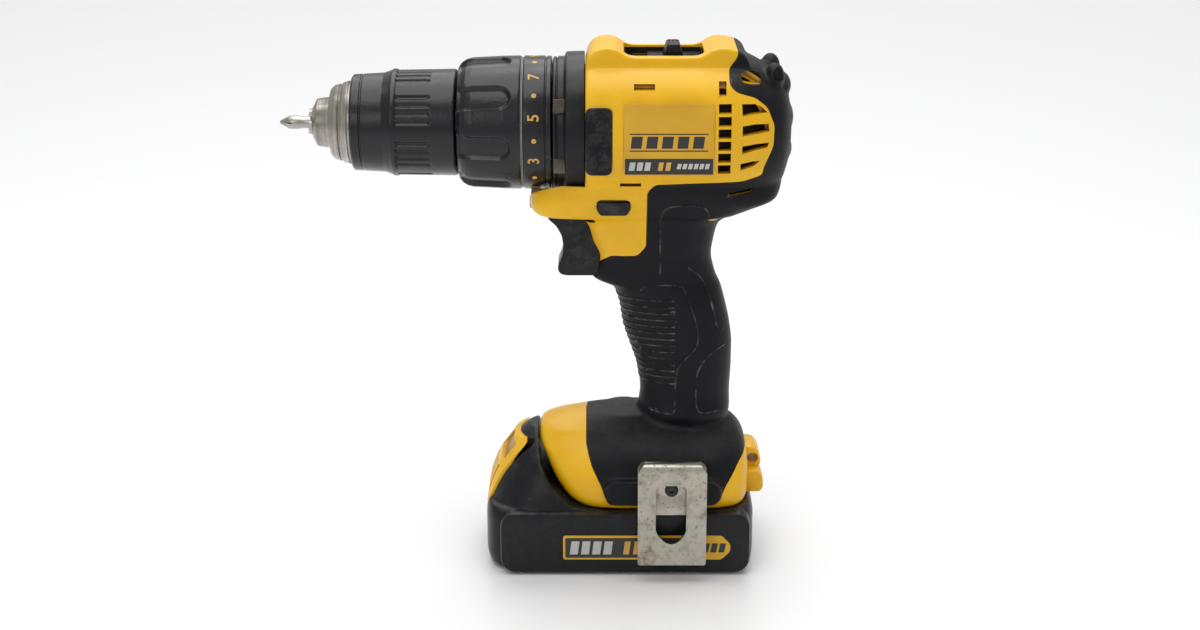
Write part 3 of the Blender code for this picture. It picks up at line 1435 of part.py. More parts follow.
def add_battery():
    pack = cut(pack_form(), *pack_cutters(), solver=CLOSED)
    low = block("low_half", (-0.2, -0.2, -0.1), (0.2, 0.2, PACK_SPLIT_Z - GAP / 2))
    high = block("high_half", (-0.2, -0.2, PACK_SPLIT_Z + GAP / 2), (0.2, 0.2, 0.2))
    case = combine(copy_of(pack, "battery_case", PARTS), low, "INTERSECT", CLOSED)
    cover = combine(copy_of(pack, "battery_cover", PARTS), high, "INTERSECT", CLOSED)
    finish(case, BLACK, 0.45)
    finish(cover, BLACK, 0.45)
    add_cells()
    latch = slab("latch_button", [latch_outline()], -LATCH_HALF_WIDTH, LATCH_HALF_WIDTH, PARTS)
    finish(latch, YELLOW, 0.35)
    add_latch_spring()
    outline = rounded((-0.0266, 0.0078), (0.0486, 0.0196), 0.0010, 1)
    outer = -PANEL_HALF_WIDTH - GAP - LABEL_THICKNESS
    label = slab("battery_label", [outline], outer, -PANEL_HALF_WIDTH - GAP, PARTS)
    finish(label, YELLOW, 0.4)


def add_cells():
    """The row of cells, held as one block by the welded strips between them."""
    reach = PACK_HALF_WIDTH - PACK_WALL - 0.0028
    pitch = 2 * CELL_RADIUS + 0.0016
    middle = (PACK_X[0] + PACK_X[1]) / 2
    z = PACK_WALL + CELL_RADIUS + 0.0008
    strip = block(
        "battery_cells",
        (middle - pitch * (CELL_COUNT - 1) / 2, -reach + 0.001, z - 0.0040),
        (middle + pitch * (CELL_COUNT - 1) / 2, -reach + 0.004, z + 0.0040),
        PARTS,
    )
    for index in range(CELL_COUNT):
        x = middle + pitch * (index - (CELL_COUNT - 1) / 2)
        strip = join(strip, rod(f"cell_{index}", (x, -reach, z), (x, reach, z), CELL_RADIUS, sides=18))
    finish(strip, (0.10, 0.25, 0.45), 0.4)


def add_latch_spring():
    coil = bpy.data.curves.new("latch_spring", "CURVE")
    coil.dimensions = "3D"
    coil.bevel_depth = LATCH_WIRE
    coil.bevel_resolution = 0
    coil.use_fill_caps = True
    spline = coil.splines.new("POLY")
    turns, per_turn = 4, 10
    count = turns * per_turn
    spline.points.add(count)
    start, end = LATCH_SPRING_X
    for i, point in enumerate(spline.points):
        angle = 2 * math.pi * i / per_turn
        across, up = LATCH_SPRING_RADIUS * math.cos(angle), LATCH_SPRING_RADIUS * math.sin(angle)
        point.co = (start + (end - start) * i / count, across, up, 1.0)
    spring = as_object("latch_spring", coil, PARTS)
    spring.location.z = LATCH_SPRING_Z
    finish(spring, STEEL, 0.3, 1.0)


def clear_cutters():
    for thing in list(CUTTERS.objects):
        bpy.data.objects.remove(thing, do_unlink=True)


clear_scene()
PARTS, CUTTERS = collections()
add_bit()
add_jaws()
add_chuck_body()
add_sleeve()
add_spindle()
add_torque_collar()
add_clutch()
add_gear_case()
add_gearbox()
add_motor()
add_housing()
add_controls()
add_housing_screws()
add_belt_clip()
add_bit_holder()
add_battery()
clear_cutters()
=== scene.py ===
"""Looks of a cordless drill driver, laid out as an add-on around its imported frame.

Metres, +Z up, the chuck along -X, the belt clip on the -Y side. Tables of points are in millimetres.
"""

import json
import math

import bmesh
import bpy
from bpy.props import FloatProperty, FloatVectorProperty, PointerProperty
from mathutils import Matrix, Vector
from mathutils.bvhtree import BVHTree


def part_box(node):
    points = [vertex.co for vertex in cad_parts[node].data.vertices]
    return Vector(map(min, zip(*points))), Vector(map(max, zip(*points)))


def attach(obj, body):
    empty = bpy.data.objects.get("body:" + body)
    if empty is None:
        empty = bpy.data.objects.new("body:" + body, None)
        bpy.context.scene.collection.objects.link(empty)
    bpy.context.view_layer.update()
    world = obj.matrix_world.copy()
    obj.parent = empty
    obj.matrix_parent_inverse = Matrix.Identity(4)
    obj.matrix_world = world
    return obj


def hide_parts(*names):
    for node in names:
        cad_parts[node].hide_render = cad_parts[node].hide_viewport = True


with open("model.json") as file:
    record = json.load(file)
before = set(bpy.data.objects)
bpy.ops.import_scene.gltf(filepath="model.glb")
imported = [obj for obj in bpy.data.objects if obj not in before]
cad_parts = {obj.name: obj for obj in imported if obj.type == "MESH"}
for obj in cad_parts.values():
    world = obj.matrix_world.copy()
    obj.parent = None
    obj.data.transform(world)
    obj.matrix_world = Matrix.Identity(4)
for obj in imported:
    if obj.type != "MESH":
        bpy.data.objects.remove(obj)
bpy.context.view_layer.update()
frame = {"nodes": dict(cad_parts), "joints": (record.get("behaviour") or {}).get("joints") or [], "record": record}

bl_info = {
    "name": "Cordless Drill Looks",
    "version": (1, 0, 0),
    "blender": (4, 5, 0),
    "location": "View3D > Sidebar > Drill",
    "description": "Builds the visible pieces and finishes of a cordless drill driver",
    "category": "Mesh",
}

JOINTS = {joint["name"]: joint for joint in frame["joints"]}
SPINDLE_Z = JOINTS["spindle_spin"]["pos_m"][2]
FOOT_TOP_Z = 0.0696
FOOT_BASE_Z = 0.0303
SKIN = 0.0014
WALL = 0.0036
HALF_SPLIT = 0.00005
CLIP_SCREW_X = 0.0218
CLIP_SCREW_Z = 0.0426
INNER_VOXEL = 0.0018
SIDES = (("left", -1), ("right", 1))

# Sections along the barrel: x, bottom and top from the spindle, half width, and how square (mm).
BARREL = (
    (-16.4, -30.5, 29.8, 30.4, 2.35),
    (-10.4, -31.0, 30.0, 31.0, 2.6),
    (40.0, -30.0, 30.0, 31.0, 2.6),
    (52.0, -30.5, 30.2, 29.8, 2.5),
    (62.0, -29.6, 25.9, 26.2, 2.4),
    (68.6, -26.2, 21.2, 21.5, 2.3),
    (72.4, -16.0, 12.0, 14.5, 2.2),
    (73.3, -8.0, 6.0, 8.5, 2.2),
)
# Sections up the handle: height above the foot, front, back, half width, and how square (mm).
HANDLE = (
    (-6.0, 8.5, 47.8, 17.5, 2.3),
    (0.0, 7.5, 49.2, 19.0, 2.3),
    (7.0, 8.3, 49.0, 17.0, 2.4),
    (19.0, 7.1, 49.5, 17.2, 2.4),
    (30.0, 3.6, 49.6, 17.5, 2.4),
    (40.0, 0.4, 48.4, 17.5, 2.4),
    (49.0, -1.0, 46.4, 17.5, 2.4),
    (57.5, -4.6, 44.0, 17.0, 2.4),
    (62.2, -14.0, 41.8, 16.8, 2.5),
    (72.5, -11.8, 39.6, 17.0, 2.6),
    (79.5, -14.5, 40.6, 18.0, 2.7),
    (87.0, -16.5, 42.6, 18.8, 2.9),
    (91.5, -23.0, 48.0, 19.6, 3.6),
    (92.1, -37.6, 49.5, 20.4, 5.0),
    (95.5, -40.4, 58.0, 22.0, 5.0),
    (100.2, -40.6, 68.0, 24.2, 4.2),
    (107.2, -40.2, 70.0, 25.0, 3.2),
    (111.0, -15.0, 69.0, 25.0, 3.2),
)
# Sections up the foot: height above its base, front, back, half width, and how square (mm).
FOOT = (
    (0.0, -21.5, 56.0, 32.3, 5.0),
    (4.0, -26.2, 57.2, 33.5, 5.0),
    (13.0, -31.8, 57.5, 33.5, 4.6),
    (21.0, -35.4, 56.8, 32.0, 3.9),
    (26.0, -37.8, 55.3, 28.6, 3.2),
    (31.0, -37.0, 52.2, 22.6, 2.7),
    (34.6, -28.5, 48.8, 16.6, 2.4),
    (37.4, -16.0, 45.0, 12.0, 2.3),
)
# The raised top from the side: x, height above the spindle (mm).
RAILS = (
    (-16.1, 20.0), (-16.1, 31.0), (-11.2, 35.9), (-3.5, 35.9), (1.7, 31.8),
    (33.4, 31.8), (38.5, 35.9), (47.0, 35.6), (52.9, 33.0), (56.0, 20.0),
)
# Side view of the moulded-on grip: x, height above the floor (mm).
GRIP = (
    (49.0, 240.5), (49.0, 232.5), (45.2, 227.5), (45.2, 222.0), (48.0, 219.3), (56.0, 217.0),
    (61.5, 212.5), (64.8, 204.5), (64.5, 195.5), (60.5, 186.5), (60.0, 182.5), (51.0, 179.7),
    (14.0, 178.3), (10.6, 175.0), (10.4, 148.6), (6.5, 144.1), (-4.8, 143.4), (-10.0, 139.6),
    (-12.8, 135.1), (-15.5, 132.8), (-15.5, 128.6), (-40.0, 99.6), (-16.0, 75.6), (-16.0, 58.8),
    (-13.5, 50.8), (-9.4, 42.0), (-5.8, 32.6), (42.0, 32.6), (46.4, 41.6), (52.0, 50.3),
    (60.0, 56.5), (90.0, 56.5), (90.0, 240.5),
)
# Lobes of the rear bumper: middle and radii (mm).
LOBES = (
    ((68.8, 0.0, 217.6), (4.4, 12.0, 5.4)),
    ((70.8, 0.0, 204.0), (3.7, 15.0, 6.6)),
    ((69.9, 0.0, 190.0), (4.4, 13.0, 6.0)),
    ((64.0, -6.0, 181.2), (4.2, 5.0, 4.0)),
    ((64.0, 6.0, 181.2), (4.2, 5.0, 4.0)),
    ((65.0, -11.5, 223.0), (4.4, 5.6, 6.2)),
    ((65.0, 11.5, 223.0), (4.4, 5.6, 6.2)),
)
# Raised lines on the handle's sides: x, height above the floor (mm).
HANDLE_LINES = (
    ((16.5, 136.0), (16.3, 160.0), (17.0, 166.0), (21.3, 169.0), (33.5, 169.0), (36.6, 166.8), (37.4, 162.6)),
    ((8.1, 128.3), (10.3, 130.6), (24.5, 130.8), (27.6, 128.8), (33.1, 112.1), (34.0, 104.0), (31.2, 99.6),
     (25.8, 94.6), (23.8, 88.9), (23.8, 71.5), (21.5, 70.2), (12.0, 71.4)),
    ((28.5, 138.6), (33.6, 135.0), (37.6, 127.4), (41.0, 116.2), (41.8, 110.4), (43.8, 107.8), (45.6, 109.0)),
    ((46.0, 101.6), (40.0, 99.4), (34.0, 92.0), (33.0, 86.0), (33.0, 73.0), (36.0, 70.4), (44.0, 71.0)),
)
PACK = (
    (0.0, -56.8, 57.0, 32.0, 6.0),
    (2.0, -60.6, 59.6, 35.2, 6.0),
    (8.0, -61.8, 60.0, 36.0, 6.0),
    (24.0, -61.8, 60.0, 36.0, 6.0),
    (28.0, -61.2, 59.0, 35.2, 6.0),
    (30.0, -60.8, 57.0, 33.0, 6.0),
)
PACK_HEAD = (
    (20.0, -61.8, 10.0, 35.4, 4.0),
    (27.2, -61.4, 10.0, 34.6, 3.2),
    (34.0, -59.8, 10.0, 33.4, 2.7),
    (42.0, -57.0, 9.0, 31.0, 2.4),
    (49.0, -53.0, 7.0, 27.4, 2.25),
    (54.0, -49.4, 4.0, 23.4, 2.2),
    (58.0, -45.4, 0.0, 18.0, 2.1),
    (60.4, -42.0, -6.0, 12.5, 2.0),
)
# The battery's head ends along the foot's curved front: x, height above the floor (mm).
HEAD_REAR = (
    (-80.0, 18.0), (-80.0, 75.0), (-38.0, 75.0), (-38.1, 62.7), (-37.7, 55.5), (-36.4, 48.3), (-32.9, 41.5),
    (-28.0, 35.7), (-22.6, 31.6), (-14.5, 30.0), (-14.5, 18.0),
)
LATCH_SLOPE = ((-60.0, 26.2), (-58.6, 34.0), (-55.8, 42.0), (-51.3, 50.0), (-46.2, 56.6))


# ---- shapes -------------------------------------------------------------------------------
def millimetres(points):
    return [tuple(value / 1000 for value in point) for point in points]


def smooth_rows(rows, steps=6):
    """Rows set between the given ones on curves that don't overshoot."""
    def secant(index, column):
        first, second = rows[index], rows[index + 1]
        return (second[column] - first[column]) / (second[0] - first[0])

    def slope(index, column):
        before = secant(max(index - 1, 0), column)
        after = secant(min(index, len(rows) - 2), column)
        if before * after <= 0:
            return 0.0
        return 2 * before * after / (before + after)

    made = []
    for index in range(len(rows) - 1):
        first, second = rows[index], rows[index + 1]
        length = second[0] - first[0]
        for step in range(steps):
            t = step / steps
            row = [first[0] + length * t]
            for column in range(1, len(first)):
                start = (2 * t**3 - 3 * t**2 + 1) * first[column] + (3 * t**2 - 2 * t**3) * second[column]
                lean = (t**3 - 2 * t**2 + t) * slope(index, column) + (t**3 - t**2) * slope(index + 1, column)
                row.append(start + lean * length)
            made.append(row)
    made.append(list(rows[-1]))
    return made


def superellipse(turn, reach_u, reach_v, power):
    cos, sin = math.cos(turn), math.sin(turn)
    u = math.copysign(abs(cos) ** (2 / power), cos) * reach_u
    v = math.copysign(abs(sin) ** (2 / power), sin) * reach_v
    return u, v


def along_barrel(row, turn, pull):
    x, low, high, half, power = row
    u, v = superellipse(turn, (high - low) / 2 - pull, half - pull, power)
    return Vector((x, v, SPINDLE_Z + (low + high) / 2 + u))


def upright(base):
    def place(row, turn, pull):
        height, front, back, half, power = row
        u, v = superellipse(turn, (back - front) / 2 - pull, half - pull, power)
        return Vector(((front + back) / 2 + u, v, base + height))
    return place


def loft(rows, place, pull=0.0, sides=88):
    """A closed skin over sections: a circle moved to the first one and extruded to each of the others."""
    rows = smooth_rows([[value / 1000 for value in row[:-1]] + [row[-1]] for row in rows])
    start, end = rows[0][0], rows[-1][0]
    bm = bmesh.new()
    layer = bm.verts.layers.float.new("turn")
    ring = bmesh.ops.create_circle(bm, cap_ends=False, segments=sides, radius=1.0)["verts"]
    for vert in ring:
        vert[layer] = math.atan2(vert.co.y, vert.co.x)
    edges = list(bm.edges)
    for number, row in enumerate(rows):
        if number:
            made = bmesh.ops.extrude_edge_only(bm, edges=edges)["geom"]
            ring = [part for part in made if isinstance(part, bmesh.types.BMVert)]
            edges = [part for part in made if isinstance(part, bmesh.types.BMEdge) and part.is_boundary]
        shrunk = [start + pull + (row[0] - start) * (end - start - 2 * pull) / (end - start)] + list(row[1:])
        for vert in ring:
            vert.co = place(shrunk, vert[layer], pull)
    bmesh.ops.holes_fill(bm, edges=[edge for edge in bm.edges if edge.is_boundary], sides=0)
    bmesh.ops.recalc_face_normals(bm, faces=bm.faces)
    return bm


def edge_loop(bm, places, closed=True):
    """New edges through places in their order."""
    verts = [bm.verts.new(place) for place in places]
    ends = verts[1:] + (verts[:1] if closed else [])
    return [bm.edges.new(pair) for pair in zip(verts, ends)]


def moved_on(bm, made, way):
    """Moves the vertices that an extrusion made, and turns all faces outwards."""
    verts = [part for part in made["geom"] if isinstance(part, bmesh.types.BMVert)]
    bmesh.ops.translate(bm, verts=verts, vec=way)
    bmesh.ops.recalc_face_normals(bm, faces=bm.faces)


def span(side, inner, outer):
    """Two distances from the middle plane as low and high Y on one side of it."""
    return sorted((side * inner, side * outer))


def prism(points, low, high, corner=0.0, segments=3, edge=0.0):
    """An outline in X and Z pushed out along Y, with rounded corners and edges."""
    bm = bmesh.new()
    face = bmesh.ops.edgeloop_fill(bm, edges=edge_loop(bm, [(x, low, z) for x, z in points]))["faces"]
    if corner:
        bmesh.ops.bevel(
            bm, geom=list(bm.verts), offset=corner, segments=segments, profile=0.5, affect="VERTICES",
            material=-1,
        )
        face = list(bm.faces)
    moved_on(bm, bmesh.ops.extrude_face_region(bm, geom=face), (0.0, high - low, 0.0))
    if edge:
        round_edges(bm, edge, 40)
    return bm


def round_edges(bm, radius, angle, segments=2):
    sharp = [e for e in bm.edges if len(e.link_faces) == 2 and e.calc_face_angle() > math.radians(angle)]
    bmesh.ops.bevel(
        bm, geom=sharp, offset=radius, segments=segments, profile=0.5, affect="EDGES", material=-1,
        clamp_overlap=True,
    )


def box(low, high, edge=0.0, segments=2):
    bm = bmesh.new()
    bmesh.ops.create_cube(bm, size=1.0)
    middle = (Vector(low) + Vector(high)) / 2
    size = Vector(high) - Vector(low)
    bmesh.ops.scale(bm, vec=size, verts=bm.verts)
    bmesh.ops.translate(bm, vec=middle, verts=bm.verts)
    if edge:
        bmesh.ops.bevel(
            bm, geom=list(bm.edges), offset=edge, segments=segments, profile=0.5, affect="EDGES", material=-1
        )
    return bm


def rod(start, end, radius, sides=40):
    start, end = Vector(start), Vector(end)
    way = end - start
    turn = way.to_track_quat("Z", "Y").to_matrix().to_4x4()
    bm = bmesh.new()
    bmesh.ops.create_cone(
        bm, cap_ends=True, segments=sides, radius1=radius, radius2=radius, depth=way.length,
        matrix=Matrix.Translation((start + end) / 2) @ turn,
    )
    return bm


def ball(middle, radii):
    bm = bmesh.new()
    bmesh.ops.create_icosphere(bm, subdivisions=5, radius=1.0)
    bmesh.ops.scale(bm, vec=radii, verts=bm.verts)
    bmesh.ops.translate(bm, vec=middle, verts=bm.verts)
    return bm


def turned(profile, steps=128, edge=0.0, closed=True):
    """An outline of x and radius (mm) spun round the spindle's axis; an open one ends on the axis."""
    bm = bmesh.new()
    edge_loop(bm, [(x / 1000, 0.0, SPINDLE_Z + radius / 1000) for x, radius in profile], closed)
    bmesh.ops.spin(
        bm, geom=list(bm.verts) + list(bm.edges), cent=(0.0, 0.0, SPINDLE_Z), axis=(1.0, 0.0, 0.0),
        angle=2 * math.pi, steps=steps, use_merge=True,
    )
    bmesh.ops.remove_doubles(bm, verts=bm.verts, dist=1e-7)
    bmesh.ops.recalc_face_normals(bm, faces=bm.faces)
    if edge:
        round_edges(bm, edge, 25)
    return bm


def finer(profile, step):
    """The profile with points added so that none of its straight runs is longer than a step."""
    points = []
    for (ax, ar), (bx, br) in zip(profile, profile[1:]):
        count = max(1, math.ceil(math.dist((ax, ar), (bx, br)) / step))
        points += [(ax + (bx - ax) * i / count, ar + (br - ar) * i / count) for i in range(count)]
    return points + [profile[-1]]


def as_object(bm, name="shape"):
    mesh = bpy.data.meshes.new(name)
    bm.to_mesh(mesh)
    bm.free()
    made = bpy.data.objects.new(name, mesh)
    bpy.context.scene.collection.objects.link(made)
    return made


def merged(forms):
    """Several bmeshes in one object, as loose shells."""
    whole = bmesh.new()
    for form in forms:
        mesh = bpy.data.meshes.new("part")
        form.to_mesh(mesh)
        form.free()
        whole.from_mesh(mesh)
        bpy.data.meshes.remove(mesh)
    return as_object(whole)


def apply_modifiers(thing):
    graph = bpy.context.evaluated_depsgraph_get()
    mesh = bpy.data.meshes.new_from_object(thing.evaluated_get(graph))
    old = thing.data
    thing.modifiers.clear()
    thing.data = mesh
    bpy.data.meshes.remove(old)
    return thing


def drop(thing):
    mesh = thing.data
    bpy.data.objects.remove(thing)
    bpy.data.meshes.remove(mesh)


def boolean(thing, other, operation, keep=False, solver="MANIFOLD"):
    modifier = thing.modifiers.new("boolean", "BOOLEAN")
    modifier.operation = operation
    modifier.solver = solver
    modifier.object = other
    apply_modifiers(thing)
    if not thing.data.polygons:
        raise RuntimeError(f"the {operation.lower()} of {thing.name} left nothing")
    if not keep:
        drop(other)
    return thing


def cut(thing, form, solver="MANIFOLD"):
    """The thing less a form, which is used up, as it is in the next two."""
    return boolean(thing, as_object(form), "DIFFERENCE", solver=solver)


def join(thing, form, solver="MANIFOLD"):
    return boolean(thing, as_object(form), "UNION", solver=solver)


def within(thing, form, solver="MANIFOLD"):
    return boolean(thing, as_object(form), "INTERSECT", solver=solver)


def copy_of(thing):
    made = thing.copy()
    made.data = thing.data.copy()
    bpy.context.scene.collection.objects.link(made)
    return made


def fused(forms, voxel, rounds):
    """One blended skin round several closed forms."""
    thing = merged(forms)
    modifier = thing.modifiers.new("skin", "REMESH")
    modifier.mode = "VOXEL"
    modifier.voxel_size = voxel
    apply_modifiers(thing)
    bm = bmesh.new()
    bm.from_mesh(thing.data)
    for _ in range(rounds):
        bmesh.ops.smooth_vert(
            bm, verts=bm.verts, factor=0.5, use_axis_x=True, use_axis_y=True, use_axis_z=True
        )
    bm.to_mesh(thing.data)
    bm.free()
    return thing


def half_of(thing, side):
    """What is on one side of the plane Y = 0, less half the split between the sides."""
    near, far = span(side, HALF_SPLIT, 0.2)
    return within(copy_of(thing), box((-0.3, near, -0.2), (0.3, far, 0.5)))


def piece(thing, name, finish, body, *replaced, slot=None, angle=32):
    """Names a finished shape, gives it its finish, and ties it to the frame."""
    thing.name = name
    thing.data.name = name
    thing.data.shade_smooth()
    thing.data.set_sharp_from_angle(angle=math.radians(angle))
    thing.data.materials.clear()
    thing.data.materials.append(finish_of(finish))
    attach(thing, body)
    if replaced:
        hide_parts(*replaced)
    return thing


# ---- finishes -----------------------------------------------------------------------------
def add(tree, kind, inputs=None, **settings):
    """A node with its settings and inputs: a socket is linked, anything else is a value."""
    node = tree.nodes.new(kind)
    for name, value in settings.items():
        setattr(node, name, value)
    for name, value in (inputs or {}).items():
        if isinstance(value, bpy.types.NodeSocket):
            tree.links.new(value, node.inputs[name])
        else:
            node.inputs[name].default_value = value
    return node


def mixed(tree, factor, first, second):
    node = add(tree, "ShaderNodeMix", {0: factor, 6: first, 7: second}, data_type="RGBA")
    return node.outputs[2]


def maths(tree, operation, first, second=0.0):
    return add(tree, "ShaderNodeMath", {0: first, 1: second}, operation=operation).outputs[0]


def ranged(tree, value, low, high):
    """Nought to one as a value goes from low to high, eased at both ends."""
    node = add(
        tree, "ShaderNodeMapRange",
        {"Value": value, "From Min": low, "From Max": high},
        interpolation_type="SMOOTHSTEP",
    )
    return node.outputs["Result"]


def noise(tree, place, scale, detail=3.0, roughness=0.55):
    node = add(
        tree, "ShaderNodeTexNoise",
        {"Vector": place, "Scale": scale, "Detail": detail, "Roughness": roughness},
    )
    return node.outputs["Fac"]


def shared_group(name, inputs, outputs, build):
    """A node group made once; build gets its tree and input sockets and gives its output sockets."""
    tree = bpy.data.node_groups.get(name)
    if tree:
        return tree
    tree = bpy.data.node_groups.new(name, "ShaderNodeTree")
    for label, kind in inputs.items():
        tree.interface.new_socket(name=label, in_out="INPUT", socket_type=kind)
    for label in outputs:
        tree.interface.new_socket(name=label, in_out="OUTPUT", socket_type="NodeSocketFloat")
    entry = tree.nodes.new("NodeGroupInput")
    leave = tree.nodes.new("NodeGroupOutput")
    for label, socket in build(tree, entry.outputs).items():
        tree.links.new(socket, leave.inputs[label])
    return tree


def grain_group():
    """Orange peel and slow changes of tone, as on moulded plastic."""
    def build(tree, given):
        fine = noise(tree, given["Vector"], given["Scale"], 3.0)
        slow = noise(tree, given["Vector"], 38.0, 4.0)
        return {"Height": fine, "Variation": ranged(tree, slow, 0.3, 0.7)}
    inputs = {"Vector": "NodeSocketVector", "Scale": "NodeSocketFloat"}
    return shared_group("Moulded Grain", inputs, ("Height", "Variation"), build)


def edge_group():
    """Masks for rubbed corners and for hollows: dirt gathers in the hollows of the dark finishes, and on the
    yellow the hollows are darkened as painted shade.
    """
    def build(tree, given):
        shape = add(tree, "ShaderNodeNewGeometry").outputs["Pointiness"]
        patches = noise(tree, given["Vector"], 210.0, 5.0, 0.7)
        rubbed = ranged(tree, shape, 0.515, 0.60)
        rubbed = maths(tree, "MULTIPLY", rubbed, ranged(tree, patches, 0.42, 0.62))
        hollow = ranged(tree, shape, 0.49, 0.43)
        return {
            "Rubbed": maths(tree, "MULTIPLY", rubbed, given["Wear"]),
            "Hollow": maths(tree, "MULTIPLY", hollow, given["Dirt"]),
        }
    inputs = {"Vector": "NodeSocketVector", "Wear": "NodeSocketFloat", "Dirt": "NodeSocketFloat"}
    return shared_group("Worn Edges", inputs, ("Rubbed", "Hollow"), build)


def dust_group():
    """A mask of settled dust: a film on what faces up, and scattered specks."""
    def build(tree, given):
        normal = add(tree, "ShaderNodeNewGeometry").outputs["Normal"]
        height = add(tree, "ShaderNodeSeparateXYZ", {0: normal}).outputs["Z"]
        cloud = noise(tree, given["Vector"], 95.0, 6.0, 0.65)
        film = maths(tree, "MULTIPLY", ranged(tree, height, 0.1, 1.0), ranged(tree, cloud, 0.38, 0.72))
        grit = noise(tree, given["Vector"], 620.0, 2.0, 0.5)
        specks = maths(tree, "MULTIPLY", ranged(tree, grit, 0.70, 0.76), ranged(tree, cloud, 0.45, 0.6))
        whole = maths(tree, "MAXIMUM", film, specks)
        return {"Dust": maths(tree, "MULTIPLY", whole, given["Amount"])}
    inputs = {"Vector": "NodeSocketVector", "Amount": "NodeSocketFloat"}
    return shared_group("Settled Dust", inputs, ("Dust",), build)


def start_material(name, **values):
    made = bpy.data.materials.new(name)
    made.use_nodes = True
    tree = made.node_tree
    shader = tree.nodes["Principled BSDF"]
    for label, value in values.items():
        shader.inputs[label.replace("_", " ")].default_value = value
    place = add(tree, "ShaderNodeTexCoord").outputs["Object"]
    return made, tree, shader, place


def moulded(
    name, colour, roughness, grain=900.0, depth=0.00003, wear=0.2, dirt=0.5, dust=0.2,
    rubbed_colour=None, dirt_and_shade_colour=(0.10, 0.065, 0.03), dust_colour=(0.32, 0.29, 0.25),
    gloss=0.5, spread=0.12,
):
    """A moulded finish: grain, uneven tone, rubbed corners, dirt in the hollows (on the yellow, painted shade
    there instead) and settled dust.
    """
    made, tree, shader, place = start_material(name, Specular_IOR_Level=gloss)
    surface = add(tree, "ShaderNodeGroup", node_tree=grain_group())
    edges = add(tree, "ShaderNodeGroup", node_tree=edge_group())
    film = add(tree, "ShaderNodeGroup", node_tree=dust_group())
    for node in (surface, edges, film):
        tree.links.new(place, node.inputs["Vector"])
    surface.inputs["Scale"].default_value = grain
    edges.inputs["Wear"].default_value = wear
    edges.inputs["Dirt"].default_value = dirt
    film.inputs["Amount"].default_value = dust
    dark = (*[value * (1 - spread) for value in colour], 1.0)
    light = (*[min(1.0, value * (1 + spread / 2)) for value in colour], 1.0)
    worn = (*(rubbed_colour or [min(1.0, value * 1.6 + 0.03) for value in colour]), 1.0)
    tone = mixed(tree, surface.outputs["Variation"], dark, light)
    tone = mixed(tree, edges.outputs["Rubbed"], tone, worn)
    # Hollows take the hollow colour: dirt on the dark finishes, and on the yellow a darker yellow that is painted
    # shade in its creases.
    tone = mixed(tree, edges.outputs["Hollow"], tone, (*dirt_and_shade_colour, 1.0))
    tone = mixed(tree, film.outputs["Dust"], tone, (*dust_colour, 1.0))
    tree.links.new(tone, shader.inputs["Base Color"])
    rough = maths(tree, "MULTIPLY", surface.outputs["Variation"], 0.10)
    rough = maths(tree, "ADD", rough, roughness - 0.05)
    rough = maths(tree, "ADD", rough, maths(tree, "MULTIPLY", film.outputs["Dust"], 0.3))
    tree.links.new(rough, shader.inputs["Roughness"])
    height = surface.outputs["Height"]
    bump = add(tree, "ShaderNodeBump", {"Height": height, "Distance": depth, "Strength": 1.0})
    tree.links.new(bump.outputs["Normal"], shader.inputs["Normal"])
    return made


def metal(name, colour, roughness, rings=0.0, stain=0.15, pits=0.0):
    """Bare metal: lathe rings along X where asked, dull stains, and pits."""
    made, tree, shader, place = start_material(name, Metallic=1.0)
    edges = add(tree, "ShaderNodeGroup", {"Vector": place, "Wear": 0.5, "Dirt": 0.8}, node_tree=edge_group())
    patches = noise(tree, place, 130.0, 6.0, 0.62)
    blotch = ranged(tree, patches, 0.46, 0.68)
    tone = mixed(
        tree, maths(tree, "MULTIPLY", blotch, stain), (*colour, 1.0), (*[v * 0.45 for v in colour], 1.0)
    )
    tone = mixed(tree, edges.outputs["Hollow"], tone, (0.07, 0.055, 0.04, 1.0))
    tone = mixed(tree, edges.outputs["Rubbed"], tone, (*[min(1.0, v * 1.25) for v in colour], 1.0))
    height = noise(tree, place, 1400.0, 2.0)
    if rings:
        squeeze = add(tree, "ShaderNodeVectorMath", {0: place, 1: (1.0, 0.015, 0.015)}, operation="MULTIPLY")
        lathe = noise(tree, squeeze.outputs[0], rings, 4.0, 0.75)
        tone = mixed(tree, ranged(tree, lathe, 0.35, 0.65), tone, (*[v * 0.62 for v in colour], 1.0))
        height = lathe
    if pits:
        holes = noise(tree, place, 700.0, 3.0, 0.6)
        mask = maths(tree, "MULTIPLY", ranged(tree, holes, 0.60, 0.68), pits)
        tone = mixed(tree, mask, tone, (0.055, 0.04, 0.03, 1.0))
        corner = add(tree, "ShaderNodeSeparateXYZ", {0: place})
        low = ranged(tree, corner.outputs["Z"], 0.030, 0.008)
        near = ranged(tree, corner.outputs["X"], 0.022, 0.004)
        rust = maths(tree, "MULTIPLY", maths(tree, "MULTIPLY", low, near), ranged(tree, patches, 0.44, 0.58))
        tone = mixed(tree, maths(tree, "MULTIPLY", rust, 0.75), tone, (0.20, 0.075, 0.025, 1.0))
        height = maths(tree, "SUBTRACT", height, mask)
    tree.links.new(tone, shader.inputs["Base Color"])
    rough = maths(tree, "ADD", maths(tree, "MULTIPLY", blotch, 0.16), roughness)
    tree.links.new(rough, shader.inputs["Roughness"])
    bump = add(tree, "ShaderNodeBump", {"Height": height, "Distance": 0.00002, "Strength": 0.8})
    tree.links.new(bump.outputs["Normal"], shader.inputs["Normal"])
    return made


def clear(name, colour, roughness):
    """A clear moulding with a little haze."""
    made, tree, shader, place = start_material(name, Roughness=roughness, Transmission_Weight=0.85, IOR=1.49)
    haze = ranged(tree, noise(tree, place, 900.0), 0.3, 0.7)
    tone = mixed(tree, haze, (*colour, 1.0), (0.65, 0.68, 0.72, 1.0))
    tree.links.new(tone, shader.inputs["Base Color"])
    return made


